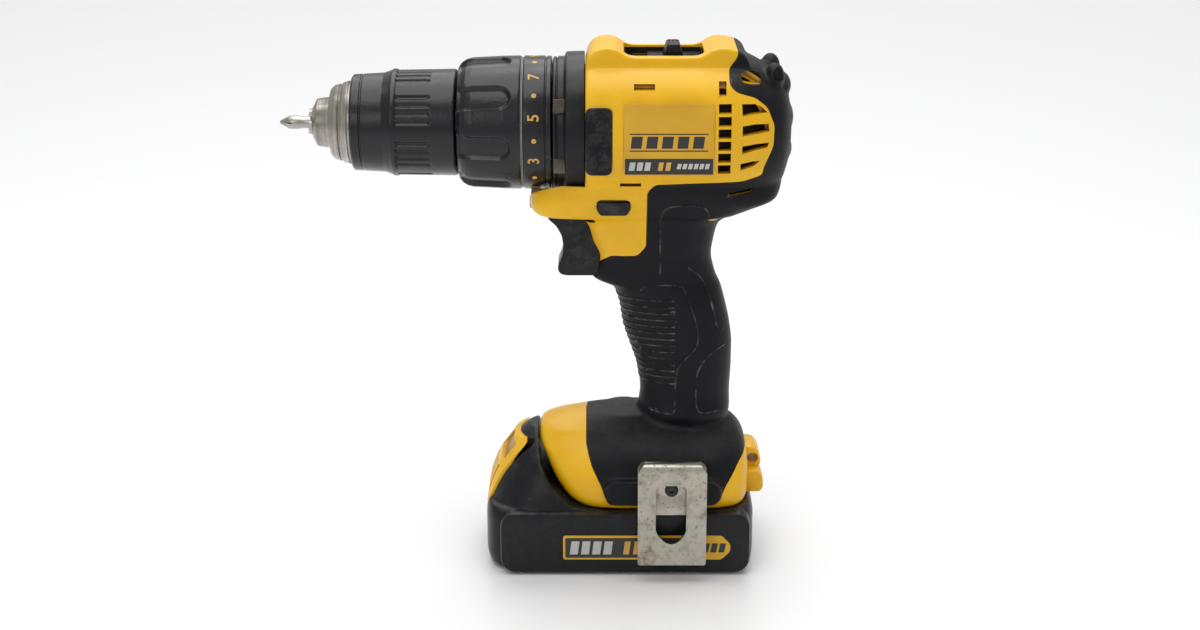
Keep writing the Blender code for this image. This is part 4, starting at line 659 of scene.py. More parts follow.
# Each finish: how it is made, its colour or the name of a colour in the panel, its roughness, and the rest.
FINISHES = {
    # The yellow's hollow colour is a darker yellow: painted shade in its creases and joins.
    "yellow_plastic": (moulded, "yellow", 0.36, {
        "grain": 1100.0, "depth": 0.000018, "wear": 0.12, "dirt": 0.8, "dust": 0.03,
        "dirt_and_shade_colour": (0.14, 0.07, 0.015), "gloss": 0.38, "spread": 0.08}),
    "soft_rubber": (moulded, "black", 0.46, {
        "grain": 1500.0, "wear": 0.9, "dirt": 0.15, "dust": 0.04, "rubbed_colour": (0.15, 0.146, 0.14),
        "gloss": 0.20, "spread": 0.2}),
    "glossy_black": (moulded, "black", 0.25, {
        "grain": 800.0, "depth": 0.00008, "wear": 0.6, "dirt": 0.1, "dust": 0.03,
        "rubbed_colour": (0.05, 0.05, 0.052), "gloss": 0.42, "spread": 0.2}),
    "satin_black": (moulded, "black", 0.34, {
        "grain": 1300.0, "wear": 0.45, "dirt": 0.2, "dust": 0.10, "rubbed_colour": (0.06, 0.058, 0.055),
        "gloss": 0.28, "spread": 0.2}),
    "dusty_black": (moulded, "black", 0.5, {
        "grain": 1300.0, "wear": 0.3, "dirt": 0.6, "dust": 0.8, "dirt_and_shade_colour": (0.12, 0.09, 0.06),
        "spread": 0.2}),
    # Near-black brown for the selector's tray and for the sheet behind the vents; on that sheet it is painted
    # shade.
    "baffle_plastic": (moulded, (0.010, 0.0075, 0.005), 0.6, {
        "wear": 0.0, "dirt": 0.2, "dust": 0.25, "dust_colour": (0.10, 0.065, 0.035), "gloss": 0.15,
        "spread": 0.5}),
    "gold_print": (moulded, "gold", 0.5, {
        "grain": 1500.0, "wear": 0.0, "dirt": 0.0, "dust": 0.15, "spread": 0.15}),
    "grey_print": (moulded, (0.50, 0.50, 0.47), 0.5, {
        "grain": 1500.0, "wear": 0.0, "dirt": 0.0, "dust": 0.1}),
    "dark_print": (moulded, (0.022, 0.021, 0.020), 0.42, {
        "grain": 1500.0, "wear": 0.0, "dirt": 0.0, "dust": 0.12}),
    "label_film": (moulded, "label", 0.38, {
        "grain": 700.0, "depth": 0.000012, "wear": 0.0, "dirt": 0.0, "dust": 0.22,
        "dust_colour": (0.45, 0.33, 0.12), "spread": 0.10}),
    "cell_wrap": (moulded, (0.06, 0.18, 0.38), 0.35, {"dirt": 0.3}),
    "carbon_block": (moulded, (0.03, 0.028, 0.026), 0.7, {"dust": 0.4}),
    "turned_steel": (metal, (0.40, 0.375, 0.335), 0.26, {"rings": 900.0, "stain": 0.25}),
    "spring_steel": (metal, (0.38, 0.365, 0.34), 0.3, {}),
    # A steel much darker than the other bright steel, for the motor can inside the housing: painted shade, with
    # stains.
    "dusty_steel": (metal, (0.12, 0.105, 0.085), 0.5, {"stain": 0.8}),
    "catch_steel": (metal, (0.10, 0.09, 0.07), 0.34, {"stain": 0.8}),
    "clip_metal": (metal, (0.42, 0.39, 0.335), 0.33, {"stain": 0.6, "pits": 0.55}),
    "black_steel": (metal, (0.045, 0.044, 0.045), 0.34, {"stain": 0.4}),
    "lamp_glass": (clear, (0.85, 0.88, 0.9), 0.08, {}),
}
# The finish of the frame's own pieces, by the slot in their record.
SLOT_FINISHES = {
    "bright_steel": "spring_steel",
    "dark_steel": "black_steel",
    "black_plastic": "dusty_black",
    "black_grip": "soft_rubber",
    "yellow_shell": "yellow_plastic",
    "clip_steel": "clip_metal",
    "label_print": "label_film",
    "cell_wrap": "cell_wrap",
    "carbon": "carbon_block",
    "clear_lens": "lamp_glass",
}


def finish_of(name):
    """The material of a finish, made when it is first asked for."""
    make, colour, roughness, values = FINISHES[name]
    if isinstance(colour, str):
        colour = getattr(bpy.context.scene.drill_colours, colour)
    return bpy.data.materials.get(name) or make(name, colour, roughness, **values)


# ---- pieces -------------------------------------------------------------------------------
def drill_skin(pull, voxel, rounds):
    """The housing's outer form drawn in by a pull, without the bumper's lobes where it is drawn in."""
    forms = [
        loft(BARREL, along_barrel, pull),
        loft(HANDLE, upright(FOOT_TOP_Z), pull),
        loft(FOOT, upright(FOOT_BASE_Z), pull),
    ]
    rails = [(x - (pull if x > 0 else -pull), z + SPINDLE_Z - pull) for x, z in millimetres(RAILS)]
    forms.append(prism(rails, pull - 0.0172, 0.0172 - pull, 0.003))
    for side in (-1, 1):
        forms.append(clip_boss(side, pull))
    if not pull:
        forms += [ball(*millimetres(lobe)) for lobe in LOBES]
        forms.append(ball((0.0010, 0.0050, 0.0650), (0.0110, 0.0110, 0.0038)))
    return fused(forms, voxel, rounds)


def clip_boss(side, pull):
    """The pill-shaped pad that the belt clip screws to."""
    outline = millimetres(((-8.2, 33.4), (44.7, 33.4), (44.7, 45.2), (-8.2, 45.2)))
    near, far = span(side, 0.020, 0.0370 - pull)
    return prism(outline, near, far, 0.0056, 6, 0.0008)


def barrel_vents():
    """The slots through the sides: six in a stack, four behind the pillar, and three single ones."""
    slots = []
    for side in (-1, 1):
        near, far = span(side, 0.0215, 0.040)
        for row in range(6):
            low = 184.2 + 5.28 * row
            slots.append(box((0.0403, near, low / 1000), (0.0458, far, (low + 4.1) / 1000)))
        for outline in (
            ((50.4, 186.1), (50.4, 188.3), (55.0, 189.2), (57.6, 189.3), (55.6, 187.8)),
            ((50.9, 193.6), (50.9, 196.2), (56.0, 196.9), (61.6, 197.0), (61.2, 195.7), (56.0, 194.9)),
            ((50.9, 201.3), (50.9, 204.9), (56.0, 205.5), (61.4, 205.2), (61.8, 202.6), (57.0, 202.0)),
            ((50.8, 209.8), (50.6, 214.1), (55.5, 213.9), (58.5, 212.5), (60.4, 210.6), (55.0, 210.3)),
        ):
            slots.append(prism(grown_outline(millimetres(outline), 0.0004), near, far))
        for x0, x1, z0, z1 in (
            (4.4, 13.3, 219.8, 222.4), (40.4, 43.6, 217.6, 223.4), (-1.4, 7.7, 177.8, 179.4)
        ):
            slots.append(box((x0 / 1000, near, z0 / 1000), (x1 / 1000, far, z1 / 1000)))
    return slots


def bumper_vents():
    """Windows in the rear bumper, and the round hollows in its two horns."""
    made = []
    top = millimetres(
        ((49.9, 226.6), (50.4, 222.6), (54.0, 221.7), (58.6, 221.2), (58.6, 225.4), (55.0, 226.8))
    )
    low = millimetres(((45.0, 174.6), (46.0, 172.8), (55.5, 174.2), (56.2, 176.2)))
    for side in (-1, 1):
        near, far = span(side, 0.0155, 0.040)
        made.append(prism(top, near, far, 0.0009))
        made.append(prism(low, near, far, 0.0006))
        made.append(rod((0.0668, side * 0.0145, 0.2250), (0.0668, side * 0.022, 0.2250), 0.0030, 48))
    return made


def housing_rooms():
    """Room in the housing for the gear case, selector, trigger, buttons, lamp and battery pack."""
    button = button_outline(0.0004)
    return [
        rod((-0.070, 0, SPINDLE_Z), (-0.0164, 0, SPINDLE_Z), 0.0316, 96),
        rod((-0.0180, 0, SPINDLE_Z), (0.0070, 0, SPINDLE_Z), 0.0259, 96),
        box((-0.060, -0.05, SPINDLE_Z - 0.0235), (-0.0164, 0.05, SPINDLE_Z + 0.03)),
        box((0.0002, -0.0128, 0.2280), (0.0348, 0.0128, 0.245), 0.0022),
        box((0.010, -0.0036, 0.2200), (0.030, 0.0036, 0.2290)),
        prism(button, -0.05, 0.05, 0.0010),
        box((-0.060, -0.0210, 0.020), (0.0440, 0.0210, 0.0428)),
        rod((-0.046, 0, 0.1645), (-0.034, 0, 0.1645), 0.0033, 32),
    ]


def trigger_mouth():
    return box((-0.0360, -0.0090, 0.1321), (0.0060, 0.0090, 0.1616), 0.0008)


def button_outline(grow):
    points = millimetres(
        ((-10.0, 164.8), (1.7, 164.8), (2.9, 167.6), (2.8, 170.2), (1.4, 171.1), (-9.7, 171.1),
         (-11.1, 170.2), (-11.2, 167.6))
    )
    return [(x + math.copysign(grow, x + 0.0042), z + math.copysign(grow, z - 0.168)) for x, z in points]


def pad_points():
    return millimetres(((-16.2, 184.0), (-4.9, 184.0), (-4.9, 213.3), (-16.2, 213.3)))


def label_points():
    return millimetres(((0.1, 184.2), (38.6, 184.2), (38.6, 215.2), (0.1, 215.2)))


def on_skin(tree, start, way):
    """Where a ray first meets the skin."""
    hit = tree.ray_cast(Vector(start), Vector(way))[0]
    if hit is None:
        raise RuntimeError(f"no skin in front of {tuple(start)}")
    return hit


def surface_of(curve):
    """The surface of a curve or of a text, which is used up."""
    holder = bpy.data.objects.new(curve.name, curve)
    mesh = bpy.data.meshes.new_from_object(holder)
    bpy.data.objects.remove(holder)
    bpy.data.curves.remove(curve)
    bm = bmesh.new()
    bm.from_mesh(mesh)
    bpy.data.meshes.remove(mesh)
    bmesh.ops.remove_doubles(bm, verts=bm.verts, dist=1e-6)
    return bm


def bead(points, radius):
    """A thin raised line through points, as a closed tube."""
    curve = bpy.data.curves.new("bead", "CURVE")
    curve.dimensions = "3D"
    curve.bevel_depth = radius
    curve.bevel_resolution = 2
    curve.use_fill_caps = True
    spline = curve.splines.new("POLY")
    spline.points.add(len(points) - 1)
    for spot, point in zip(spline.points, points):
        spot.co = (*point, 1.0)
    bm = surface_of(curve)
    bmesh.ops.recalc_face_normals(bm, faces=bm.faces)
    return bm


def spread_points(points, step):
    """Evenly set points along a rounded path through the given ones."""
    corners = [Vector((x, 0.0, z)) for x, z in points]
    for _ in range(3):
        softer = [corners[0]]
        for first, second in zip(corners, corners[1:]):
            softer += [first.lerp(second, 0.25), first.lerp(second, 0.75)]
        corners = softer + [corners[-1]]
    path = [corners[0]]
    for corner in corners[1:]:
        if (corner - path[-1]).length > step:
            path.append(corner)
    return path


def handle_lines(tree, side):
    made = []
    for line in HANDLE_LINES:
        places = spread_points(millimetres(line), 0.0010)
        path = [on_skin(tree, (p.x, side * 0.08, p.z), (0, -side, 0)) for p in places]
        made.append(bead([p - Vector((0, side * 0.0001, 0)) for p in path], 0.0005))
    return made


def front_ribs(tree):
    """Finger ribs wrapped round the front of the handle."""
    made = []
    for row in range(14):
        height = 0.0845 + 0.0030 * row
        path = []
        for step in range(45):
            turn = math.radians(-88 + 4 * step)
            way = Vector((-math.cos(turn), math.sin(turn), 0.0))
            path.append(on_skin(tree, Vector((0.024, 0, height)) + way * 0.06, -way) - way * 0.00012)
        made.append(bead(path, 0.00055))
    return made


class DRILL_OT_housing(bpy.types.Operator):
    """Build the two yellow shells and the moulded-on grip"""
    bl_idname = "drill.housing"
    bl_label = "Housing and Grip"

    def execute(self, context):
        sizes = context.scene.drill_sizes
        skin = drill_skin(0.0, sizes.skin_voxel, 5)
        under = drill_skin(SKIN, sizes.skin_voxel, 5)
        tree = BVHTree.FromObject(skin, bpy.context.evaluated_depsgraph_get())
        region = prism(millimetres(GRIP), -0.06, 0.06, 0.0015)
        grip = within(copy_of(skin), region)
        grip = boolean(grip, under, "DIFFERENCE", keep=True)
        for group in (front_ribs(tree), handle_lines(tree, -1), handle_lines(tree, 1)):
            for line in group:
                join(grip, line)
        groove = sizes.seam
        grown = prism(grown_outline(millimetres(GRIP), groove), -0.07, 0.07, 0.0015)
        recess = boolean(as_object(grown), under, "DIFFERENCE")
        shell = boolean(skin, drill_skin(WALL, INNER_VOXEL, 3), "DIFFERENCE")
        shell = boolean(shell, recess, "DIFFERENCE")
        for room in housing_rooms():
            cut(shell, room)
        cuts = merged([*barrel_vents(), *bumper_vents()])
        for thing in (shell, grip):
            boolean(thing, cuts, "DIFFERENCE", keep=True)
            cut(thing, trigger_mouth())
        drop(cuts)
        for side in (-1, 1):
            cut(shell, prism(grown_outline(pad_points(), 0.0003), *span(side, 0.0296, 0.04), 0.0028, 6))
            cut(shell, prism(grown_outline(label_points(), 0.0003), *span(side, 0.0306, 0.04), 0.0008))
        # A dark sheet just inside the wall behind the side and bumper vents: painted shade, standing for the
        # yellow inside of the housing in shadow.
        shade_liner = drill_skin(WALL + 0.0003, INNER_VOXEL, 3)
        boolean(shade_liner, drill_skin(WALL + 0.0012, INNER_VOXEL, 3), "DIFFERENCE")
        within(shade_liner, box((0.0380, -0.05, 0.1700), (0.0800, 0.05, 0.2400)))
        piece(shade_liner, "vent_baffle", "baffle_plastic", "housing")
        for word, side in SIDES:
            piece(half_of(shell, side), f"{word}_housing", "yellow_plastic", "housing", f"{word}_shell",
                  slot="yellow_shell")
            piece(half_of(grip, side), f"{word}_overmould", "soft_rubber", "housing", f"{word}_grip",
                  slot="black_grip")
        drop(shell)
        drop(grip)
        return {"FINISHED"}


def grown_outline(points, amount):
    """An outline's points moved outwards by an amount, each along the middle of its two normals."""
    area = sum(ax * bz - bx * az for (ax, az), (bx, bz) in zip(points, points[1:] + points[:1]))
    turn = math.copysign(1.0, area)
    moved = []
    for index, (x, z) in enumerate(points):
        before = Vector(points[index]) - Vector(points[index - 1])
        after = Vector(points[(index + 1) % len(points)]) - Vector(points[index])
        normals = [Vector((side.y, -side.x)).normalized() * turn for side in (before, after)]
        middle = (normals[0] + normals[1]).normalized()
        reach = amount / max(0.4, middle.dot(normals[0]))
        moved.append((x + middle.x * reach, z + middle.y * reach))
    return moved


def bars(name, places, near, far, finish, body, lean):
    """Printed bars as one piece; they lean over a little, but thin lines don't."""
    solids = []
    for x, z, width, height in places:
        shift = lean if height > 1 else 0.0
        outline = ((x, z), (x + width, z), (x + width + shift, z + height), (x + shift, z + height))
        solids.append(prism(millimetres(outline), near, far))
    piece(merged(solids), name, finish, body, slot="label_print")


class DRILL_OT_side_trim(bpy.types.Operator):
    """Build the side pads and the printed labels"""
    bl_idname = "drill.side_trim"
    bl_label = "Side Pads and Labels"

    def execute(self, context):
        for word, side in SIDES:
            near, far = span(side, 0.0297, 0.0311)
            pad = as_object(prism(pad_points(), near, far, 0.0026, 6, 0.0005))
            piece(pad, f"{word}_pad", "soft_rubber", "housing", f"{word}_side_pad", slot="black_grip")
            near, far = span(side, 0.0307, 0.03115)
            film = as_object(prism(label_points(), near, far, 0.0007, 3, 0.0001))
            piece(film, f"{word}_label_film", "label_film", "housing", f"{word}_label", slot="label_print")
            self.print_marks(word, side)
        return {"FINISHED"}

    def print_marks(self, word, side):
        """A dark band and plain bars; they stand a hair proud of the film."""
        near, far = span(side, 0.0311, 0.03120)
        band = millimetres(((0.6, 184.6), (38.2, 184.6), (38.2, 191.5), (0.6, 191.5)))
        piece(as_object(prism(band, near, far)), f"{word}_label_band", "dark_print", "housing",
              slot="label_print")
        dark = [(2.6, 201.9, 33.4, 0.5), (2.6, 194.6, 33.4, 0.5)]
        dark += [(3.0 + 6.6 * index, 195.9, 4.6, 5.2) for index in range(5)]
        bars(f"{word}_label_bars", dark, near, far, "dark_print", "housing", 0.6)
        near, far = span(side, 0.0311, 0.03126)
        light = [(2.2 + 3.3 * index, 186.3, 2.4, 3.6) for index in range(3)]
        light += [(22.6 + 2.4 * index, 187.0, 1.7, 2.3) for index in range(6)]
        gold = [(14.6, 186.3, 2.0, 3.6), (17.8, 186.3, 2.0, 3.6)]
        bars(f"{word}_label_light_bars", light, near, far, "grey_print", "housing", 0.6)
        bars(f"{word}_label_gold_bars", gold, near, far, "gold_print", "housing", 0.6)


class DRILL_OT_controls(bpy.types.Operator):
    """Build the trigger, the direction button, the lamp's lens and the speed selector"""
    bl_idname = "drill.controls"
    bl_label = "Trigger, Button and Selector"

    def execute(self, context):
        outline = millimetres(
            ((-7.0, 161.0), (-33.4, 161.0), (-33.0, 158.6), (-29.4, 155.4), (-27.0, 151.0), (-26.3, 146.5),
             (-26.9, 141.5), (-28.6, 137.4), (-28.8, 135.0), (-27.4, 133.1), (-25.0, 132.6), (-7.0, 132.6))
        )
        trigger = as_object(prism(outline, -0.0085, 0.0085, 0.0010, 3, 0.0012))
        piece(trigger, "trigger_lever", "satin_black", "trigger", "trigger", slot="black_plastic")
        button = as_object(prism(button_outline(0.0), -0.0252, 0.0252, 0.0010, 3, 0.0006))
        piece(button, "reverse_button", "satin_black", "direction_button", "direction_button",
              slot="black_plastic")
        lens = rod((-0.0412, 0, 0.1645), (-0.0370, 0, 0.1645), 0.0029, 48)
        round_edges(lens, 0.0006, 60, 3)
        piece(as_object(lens), "lamp_lens", "lamp_glass", "housing", "led_lens", slot="clear_lens")
        self.selector()
        return {"FINISHED"}

    def selector(self):
        low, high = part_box("speed_selector")
        plate = as_object(box((low.x, low.y, low.z), (high.x, high.y, low.z + 0.0015), 0.0004))
        outline = millimetres(((17.0, 229.3), (26.4, 229.3), (24.4, 236.1), (19.0, 236.1)))
        join(plate, prism(outline, -0.0065, 0.0065, 0.0009, 3, 0.0005), solver="EXACT")
        for index in range(3):
            x = 0.0196 + 0.0017 * index
            cut(plate, box((x, -0.0048, 0.2357), (x + 0.0007, 0.0048, 0.2370)), solver="EXACT")
        tray = as_object(box((0.0004, -0.0126, 0.2262), (0.0346, 0.0126, 0.2316), 0.0006))
        cut(tray, box((0.0010, -0.0120, 0.2274), (0.0340, 0.0120, 0.24), 0.0004), solver="EXACT")
        cut(tray, box((0.0080, -0.0040, 0.220), (0.0320, 0.0040, 0.24)), solver="EXACT")
        piece(tray, "selector_tray", "baffle_plastic", "housing")
        piece(plate, "speed_slider", "satin_black", "selector", "speed_selector", slot="black_plastic")


def angle_of(vert):
    """Degrees above the horizontal on the left side."""
    return math.degrees(math.atan2(vert.co.z - SPINDLE_Z, -vert.co.y))


def near_angle(angle, centres):
    """The signed distance to the nearest of some angles, in degrees."""
    return min(((angle - centre + 180) % 360 - 180 for centre in centres), key=abs)


def step_up(value, low, high):
    t = min(1.0, max(0.0, (value - low) / (high - low)))
    return t * t * (3 - 2 * t)


def off_axis(bm, least):
    """Each vertex at a least radius or more, with its x, radius (mm) and angle."""
    for vert in bm.verts:
        radius = math.hypot(vert.co.y, vert.co.z - SPINDLE_Z) * 1000
        if radius >= least:
            yield vert, vert.co.x * 1000, radius, angle_of(vert)


def push_in(vert, depth):
    way = Vector((0.0, vert.co.y, vert.co.z - SPINDLE_Z))
    vert.co -= way.normalized() * depth


class DRILL_OT_collar(bpy.types.Operator):
    """Build the torque collar with its pockets, and the numbered dial"""
    bl_idname = "drill.collar"
    bl_label = "Torque Collar"

    def execute(self, context):
        outer = finer(
            ((-71.4, 24.5), (-69.9, 26.4), (-68.0, 27.6), (-65.4, 28.3), (-51.0, 29.0),
             (-44.9, 29.1), (-44.5, 28.9), (-43.3, 28.2)), 0.45)
        inner = ((-43.3, 26.2), (-31.2, 26.2), (-31.2, 22.1), (-69.2, 22.1), (-69.2, 16.4), (-71.4, 16.4))
        bm = turned([*outer, *inner], 360)
        centres = [78.75 - 45 * index for index in range(8)]
        for vert, x, radius, angle in off_axis(bm, 24.0):
            across = near_angle(angle, centres) * math.pi / 180 * radius
            along = max(0.0, x + 53.6)
            spread = math.hypot(across, along) if along else abs(across)
            depth = 1.9 * (1 - step_up(spread, 4.3, 5.5)) * step_up(x, -71.3, -70.2)
            push_in(vert, min(depth, max(0.0, radius - 24.6)) / 1000)
        piece(as_object(bm), "torque_collar_grip", "glossy_black", "collar", "torque_collar",
              slot="black_grip", angle=50)
        dial = turned(
            ((-43.0, 26.6), (-43.0, 28.7), (-42.6, 29.1), (-33.9, 29.1), (-33.6, 28.6), (-33.2, 28.6),
             (-32.9, 29.0), (-31.3, 29.0), (-30.9, 28.6), (-30.9, 26.6)), 256, 0.00012)
        piece(as_object(dial), "dial_ring", "glossy_black", "collar", "torque_dial", slot="black_grip")
        washers = [
            turned(((x, 26.4), (x, 28.55), (x + 0.18, 28.55), (x + 0.18, 26.4)), 160) for x in (-43.95, -43.4)
        ]
        piece(merged(washers), "dial_washers", "grey_print", "collar", slot="black_grip")
        self.numbers()
        return {"FINISHED"}

    def numbers(self):
        """Odd numbers with dots between them, and a plain drill mark at the end of the scale."""
        shapes = []
        for number, angle in (("9", 92.0), ("7", 53.8), ("5", 15.8), ("3", -22.2), ("1", -63.0)):
            shapes.append(dial_text(number, angle))
        for index, number in enumerate(("11", "13", "15")):
            shapes.append(dial_text(number, 131.0 + 39.0 * index))
        for angle in (74.3, 35.0, -3.8, -42.4, 112.0, 150.5, 189.5):
            shapes.append(dial_dot(angle))
        shapes.append(dial_drill_mark(248.0))
        piece(merged(shapes), "dial_numbers", "gold_print", "collar", slot="black_grip")


DIAL_MIDDLE_X = -0.0382
DIAL_RADIUS = 0.02910
DOT_RADIUS = 0.00105
PRINT_DEPTH = 0.00008


def wrap_on_dial(bm, angle):
    """Bends flat shapes round the dial: their X runs up round the ring, their Y towards the chuck."""
    start = math.radians(angle)
    for vert in bm.verts:
        turn = start + vert.co.x / DIAL_RADIUS
        reach = DIAL_RADIUS + vert.co.z
        vert.co = Vector(
            (DIAL_MIDDLE_X - vert.co.y, -reach * math.cos(turn), SPINDLE_Z + reach * math.sin(turn))
        )
    return bm


def dial_text(text, angle):
    font = bpy.data.curves.new("number", "FONT")
    font.body = text
    font.size = 0.0068 if len(text) == 1 else 0.0058
    font.offset = 0.0001
    font.extrude = PRINT_DEPTH
    font.align_x = "CENTER"
    font.align_y = "CENTER"
    return wrap_on_dial(surface_of(font), angle)


def dial_dot(angle):
    bm = bmesh.new()
    bmesh.ops.create_cone(
        bm, cap_ends=True, segments=24, radius1=DOT_RADIUS, radius2=DOT_RADIUS, depth=2 * PRINT_DEPTH
    )
    return wrap_on_dial(bm, angle)


def dial_drill_mark(angle):
    """A plain pointed bar that stands for drilling."""
    bm = bmesh.new()
    outline = ((-3.0, -0.8), (1.4, -0.8), (3.0, 0.0), (1.4, 0.8), (-3.0, 0.8))
    loop = edge_loop(bm, [(x / 1000, y / 1000, -PRINT_DEPTH) for x, y in outline])
    face = bmesh.ops.edgeloop_fill(bm, edges=loop)["faces"]
    moved_on(bm, bmesh.ops.extrude_face_region(bm, geom=face), (0.0, 0.0, 2 * PRINT_DEPTH))
    return wrap_on_dial(bm, angle)


class DRILL_OT_gear_case(bpy.types.Operator):
    """Build the black gear case between the dial and the housing"""
    bl_idname = "drill.gear_case"
    bl_label = "Gear Case"

    def execute(self, context):
        profile = (
            (-65.2, 12.0), (-65.2, 15.6), (-31.0, 15.6), (-30.4, 24.0), (-30.4, 28.2), (-29.9, 28.7),
            (-28.9, 28.7), (-28.7, 28.2), (-28.3, 28.2), (-28.1, 28.9), (-25.6, 28.9), (-24.7, 30.6),
            (-24.2, 30.9), (-19.0, 31.1), (-16.7, 31.1), (-16.7, 25.4), (8.3, 25.4), (8.3, 22.9),
            (-24.0, 22.9), (-29.0, 12.0),
        )
        case = as_object(turned(profile, 192, 0.00015))
        ledges = []
        for side in (-1, 1):
            for low in (209.8, 183.9):
                near, far = span(side, 0.0262, 0.035)
                cut(case, box((-0.0302, near, low / 1000), (-0.0246, far, (low + 6.6) / 1000)))
                near, far = span(side, 0.0255, 0.0266)
                ledges.append(box((-0.0300, near, low / 1000), (-0.0250, far, (low + 6.4) / 1000), 0.0002))
        piece(case, "gear_case_cover", "satin_black", "housing", "gear_case", slot="black_plastic")
        piece(merged(ledges), "gear_case_catches", "catch_steel", "housing", slot="black_plastic")
        return {"FINISHED"}


class DRILL_OT_chuck(bpy.types.Operator):
    """Build the chuck: its body, the ribbed sleeve, and the screwdriver bit"""
    bl_idname = "drill.chuck"
    bl_label = "Chuck and Bit"

    def execute(self, context):
        body = turned(
            ((-135.6, 6.9), (-134.6, 8.6), (-134.0, 10.0), (-133.3, 10.5), (-127.6, 11.2), (-127.4, 14.6),
             (-126.9, 15.3), (-118.6, 17.9), (-118.0, 18.0), (-90.0, 18.2), (-90.0, 6.9)), 192, 0.0002)
        piece(as_object(body), "chuck_nose", "turned_steel", "spindle", "chuck_body", slot="bright_steel")
        self.rings()
        self.sleeve()
        self.bit()
        return {"FINISHED"}

    def rings(self):
        """Bright rings stepped up behind the nose."""
        rings = [
            turned(((-126.2, 14.0), (-126.2, 15.9), (-125.6, 16.3), (-123.4, 16.9), (-123.2, 14.0)), 128),
            turned(((-122.4, 14.0), (-122.4, 17.0), (-121.9, 17.5), (-119.4, 18.2), (-119.2, 14.0)), 128),
        ]
        piece(merged(rings), "chuck_rings", "turned_steel", "spindle", slot="bright_steel")

    def sleeve(self):
        outer = finer(
            ((-117.9, 19.2), (-117.9, 20.3), (-117.2, 21.0), (-113.9, 21.2), (-113.6, 20.8), (-113.2, 20.8),
             (-112.9, 21.2), (-104.0, 21.7), (-101.0, 22.8), (-99.9, 23.4), (-98.6, 23.4), (-97.6, 22.9),
             (-73.2, 23.3), (-72.6, 23.0), (-72.1, 22.4)), 0.4)
        bm = turned([*outer, (-72.1, 19.2)], 420)
        centres = [77.1 - 51.43 * index + 9.3 * (row - 1.5) for index in range(7) for row in range(4)]
        for vert, x, radius, angle in off_axis(bm, 21.5):
            across = abs(near_angle(angle, centres)) * math.pi / 180 * radius
            ends = step_up(x, -98.6, -97.0) * (1 - step_up(x, -84.4, -82.6))
            push_in(vert, 0.75 * (1 - step_up(across, 0.45, 1.15)) * ends / 1000)
        piece(as_object(bm), "chuck_grip", "glossy_black", "sleeve", "chuck_sleeve", slot="black_grip",
              angle=50)

    def bit(self):
        """A cross-head bit: a hexagonal shank, a neck, and four flutes ground to the tip."""
        tip_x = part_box("screwdriver_bit")[0].x
        neck = turned(
            ((-150.4, 0.0), (-150.2, 0.7), (-147.2, 2.3), (-146.2, 2.9), (-142.4, 3.0), (-140.8, 2.6),
             (-136.6, 2.6), (-135.2, 3.0), (-134.0, 3.1), (-134.0, 0.0)), 64, closed=False)
        shank = rod((-0.1355, 0, SPINDLE_Z), (-0.1004, 0, SPINDLE_Z), 0.00635 / math.sqrt(3), 6)
        round_edges(shank, 0.0003, 40)
        bit = join(as_object(neck), shank, solver="EXACT")
        for index in range(4):
            flute = box((tip_x - 0.002, 0.00055, 0.00055), (tip_x + 0.0062, 0.006, 0.006))
            lean = Matrix.Rotation(math.radians(-13), 4, "Y") @ Matrix.Rotation(math.radians(13), 4, "Z")
            quarter = Matrix.Rotation(math.radians(45 + 90 * index), 4, "X")
            turn = Matrix.Translation((tip_x, 0, SPINDLE_Z)) @ quarter
            bmesh.ops.transform(flute, matrix=Matrix.Translation((-tip_x, 0, 0)), verts=flute.verts)
            bmesh.ops.transform(flute, matrix=turn @ lean, verts=flute.verts)
            cut(bit, flute, solver="EXACT")
        piece(bit, "driver_bit", "spring_steel", "bit", "screwdriver_bit", slot="bright_steel")


